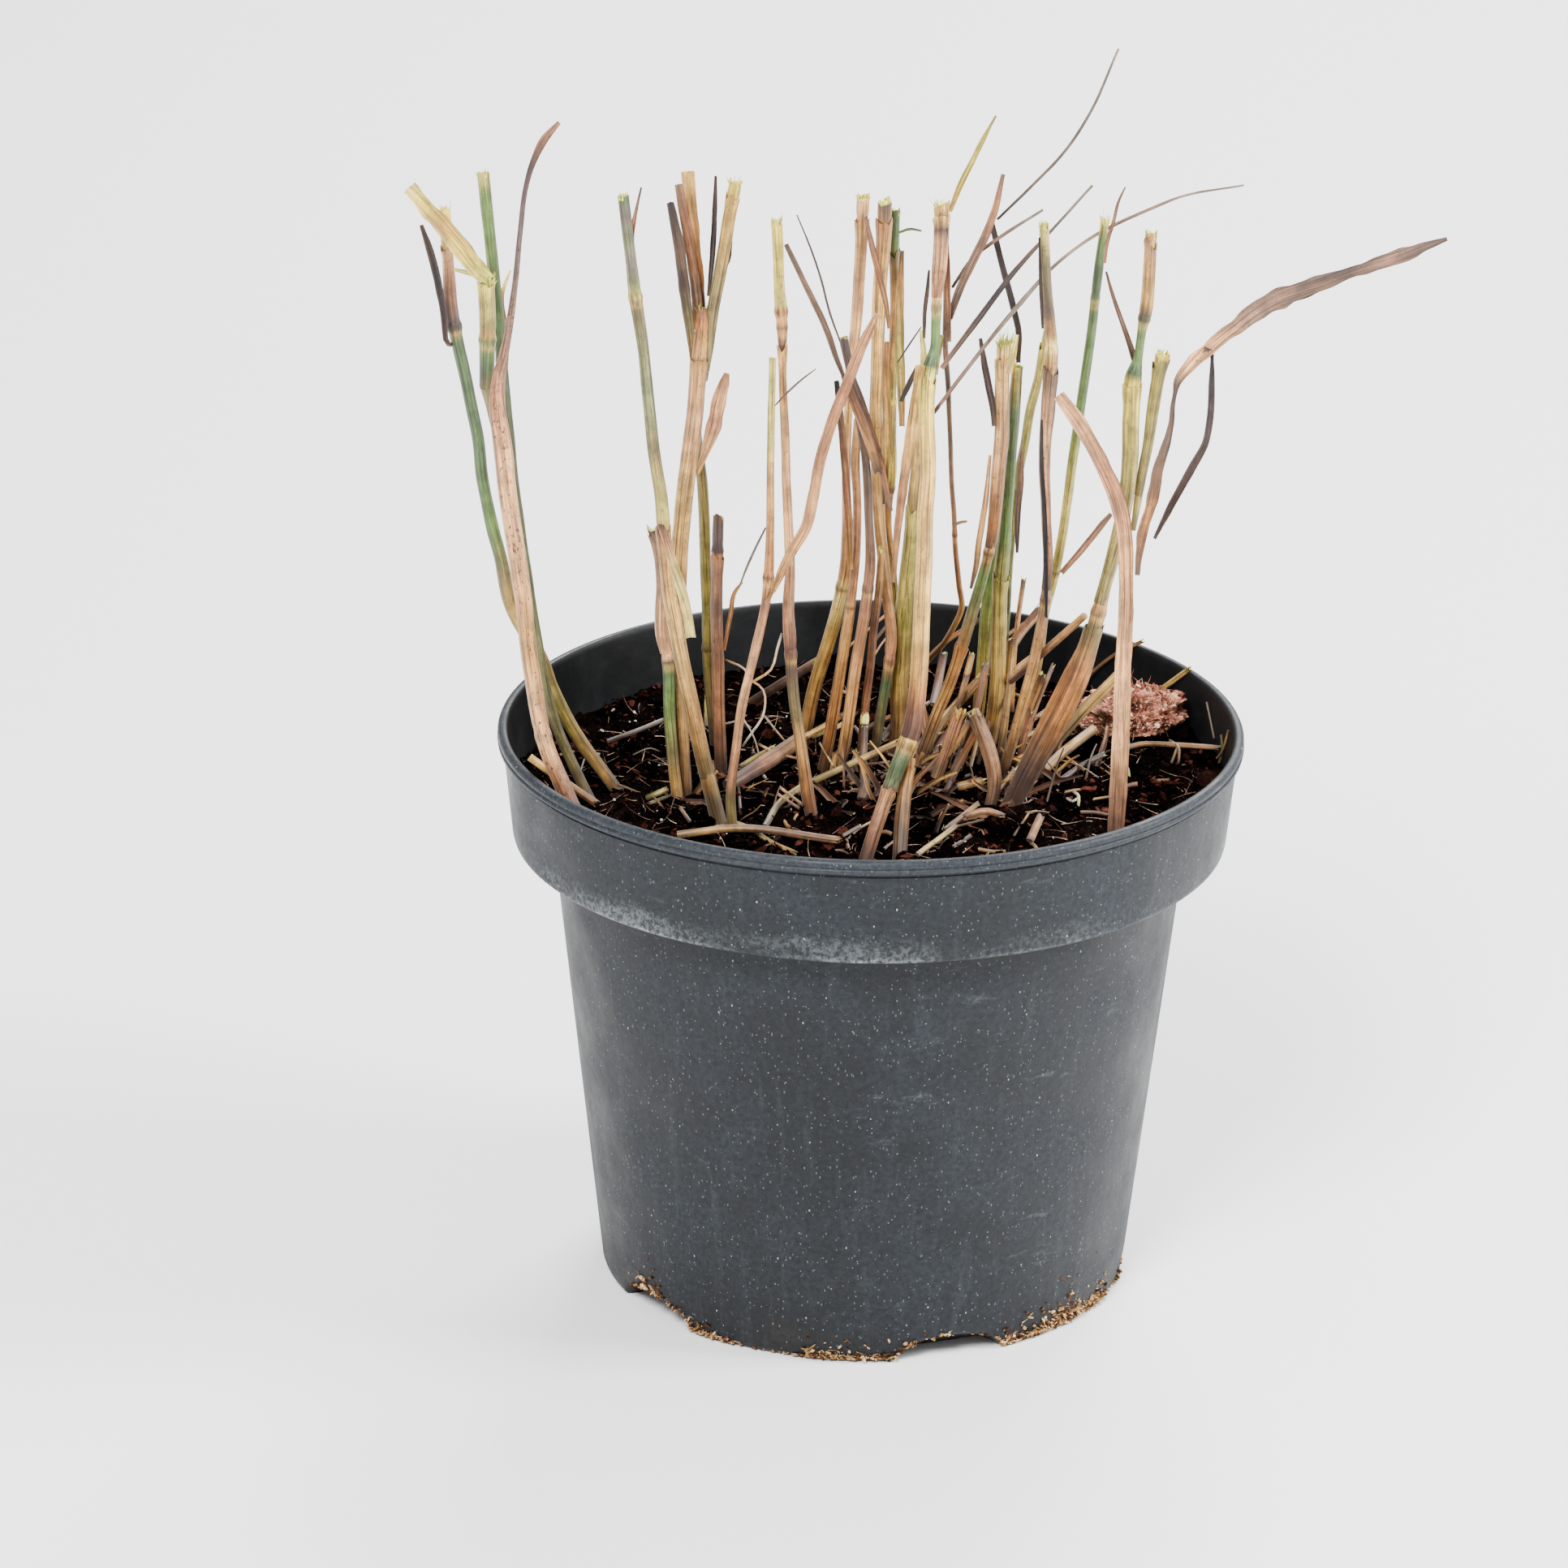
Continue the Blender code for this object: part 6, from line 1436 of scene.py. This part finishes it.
def make_roots():
    """Fine pale roots and hairs that thread the top of the peat."""
    rng = np.random.default_rng(5)
    surface = Surface()
    count = 420
    x, y = scattered(rng, count, 103 * MM)
    roots = vectors(x, y, peat_surface_height(x, y) + 0.5 * MM)
    turn = rng.uniform(0, 2 * np.pi, count)
    way = polar(1, turn, rng.uniform(0.0, 0.4, count))
    colours = shades("#a98762 #6e4a38 #c9b28e #8b5a44")[rng.integers(0, 4, count)]
    length = rng.uniform(2, 10, count) * MM
    fits = np.hypot(x + way[:, 0] * length, y + way[:, 1] * length) < 105 * MM
    radius = rng.uniform(0.06, 0.17, count) * MM
    fibres(surface, roots[fits], way[fits], length[fits], radius[fits], colours[fits], 0.3, 6)
    return surface.finish("fine_roots", CULM_SKIN)


def make_foot_crumbs():
    """Tan and brown crumbs and fibres that stick to the pot's lower edge, thickest at the front right."""
    rng = np.random.default_rng(17)
    surface = Surface()
    count = 3000
    degrees = rng.uniform(-152, -5, count)
    angle = np.radians(degrees)
    coarse = layered_noise(polar(90, angle), 14, 2, 61)
    thick = np.clip(0.55 + 0.8 * coarse + 0.25 * steps(-90, -40, degrees), 0.05, 1.4)
    z = np.abs(rng.normal(0, 1, count)) * 2.0 * thick * MM + 0.4 * MM
    z = z + MM * rng.exponential(3.2, count) * (rng.uniform(0, 1, count) < 0.16) * thick
    lift = drain_arch(angle)
    keep = rng.uniform(0, 1, count) < np.where(lift > 0, 0.35, 0.75) * thick
    angle, z, lift = angle[keep], z[keep] + lift[keep], lift[keep]
    radius = body_radius(z) + 0.12 * MM - 0.8 * MM * steps(1.6 * MM, 0.3 * MM, z - lift)
    places = polar(radius, angle, np.maximum(z, 1.15 * MM))
    colours = shades("#a58259 #c9ab7c #6d4930 #3d2a20 #8a673c #bb966c #553726")
    chosen = colours[rng.integers(0, len(colours), len(z))]
    crumbs(surface, places, rng.uniform(0.35, 1.35, len(z)) * MM, chosen, 18, 2.4, flatness=1.0)
    some = rng.uniform(0, 1, len(z)) < 0.3
    places, count = places[some], some.sum()
    way = rng.normal(0, 1, (count, 3))
    way = unit(way - places * ((way * places).sum(1) / (places ** 2).sum(1))[:, None])
    fibres(surface, places + [0, 0, 0.8 * MM], way * [1, 1, 0.5], rng.uniform(0.8, 3.2, count) * MM,
           rng.uniform(0.1, 0.25, count) * MM, chosen[some], 0.2, 19)
    return surface.finish("crumbs_on_pot_foot", PEAT, 30)


def stand_for(piece, name):
    """Let a piece ride on the pot's body and stand for a CAD node, which is hidden."""
    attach(piece, "root")
    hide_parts(name)


stand_for(make_pot(), "nursery_pot")
stand_for(make_peat(), "peat_root_ball")
stand_for(make_lump(), "fibrous_peat_lump")
for number, (name, forms) in enumerate(STRANDS.items()):
    stand_for(make_strand(number, name, forms), name)
for piece, slot in ((make_crumbs(), "dark_peat"), (make_perlite(), "dark_peat"), (make_litter(), "tan_culm"),
                    (make_roots(), "tan_culm"), (make_foot_crumbs(), "fibrous_peat")):
    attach(piece, "root")


def make_stage():
    """A plain floor painted matt white, an even pale ground to the eye, wide enough to fill the view."""
    mesh = bpy.data.meshes.new("floor")
    mesh.from_pydata([(-9, -5, 0), (9, -5, 0), (9, 12, 0), (-9, 12, 0)], [], [(0, 1, 2, 3)])
    mesh.materials.append(new_material("matt_white_paint", 0.9, Base_Color=(*shade("#f4f4f4"), 1))[0])
    floor = bpy.data.objects.new("floor", mesh)
    bpy.context.scene.collection.objects.link(floor)


def softbox(name, place, aim, size, watts):
    """A square soft light that points at a place."""
    light = bpy.data.lights.new(name, "AREA")
    light.shape = "SQUARE"
    light.size = size
    light.energy = watts
    thing = bpy.data.objects.new(name, light)
    thing.location = place
    thing.rotation_euler = (Vector(aim) - Vector(place)).to_track_quat("-Z", "Y").to_euler()
    bpy.context.scene.collection.objects.link(thing)


def make_camera():
    """The camera at the eye, aimed at the picture's middle and rolled with it."""
    gaze = sight(*PICTURE_MIDDLE)
    ahead = unit(gaze)
    right = unit(np.cross(ahead, SEEN_UP))
    up = np.cross(right, ahead)
    camera = bpy.data.cameras.new("camera")
    camera.sensor_fit = "AUTO"
    camera.sensor_width = SENSOR_WIDTH
    camera.lens = SENSOR_WIDTH * np.linalg.norm(gaze) / PICTURE_WIDTH
    camera.clip_start = 0.1
    camera.clip_end = 30
    thing = bpy.data.objects.new("camera", camera)
    turn = Matrix([right, up, -ahead]).transposed().to_4x4()
    thing.matrix_world = Matrix.Translation(Vector(EYE)) @ turn
    bpy.context.scene.collection.objects.link(thing)
    bpy.context.scene.camera = thing


make_stage()
make_camera()
middle = (0, 0, 0.2)
softbox("key_softbox", (-0.6, -1.8, 1.9), middle, 0.8, 132)
softbox("right_softbox", (1.7, -0.2, 1.1), middle, 0.7, 76)
softbox("back_softbox", (0.5, 2.0, 1.9), middle, 1.2, 120)
world = bpy.data.worlds.new("studio")
world.use_nodes = True
sky = world.node_tree.nodes["Background"]
sky.inputs["Color"].default_value = (1, 1, 1, 1)
sky.inputs["Strength"].default_value = 0.75
bpy.context.scene.world = world
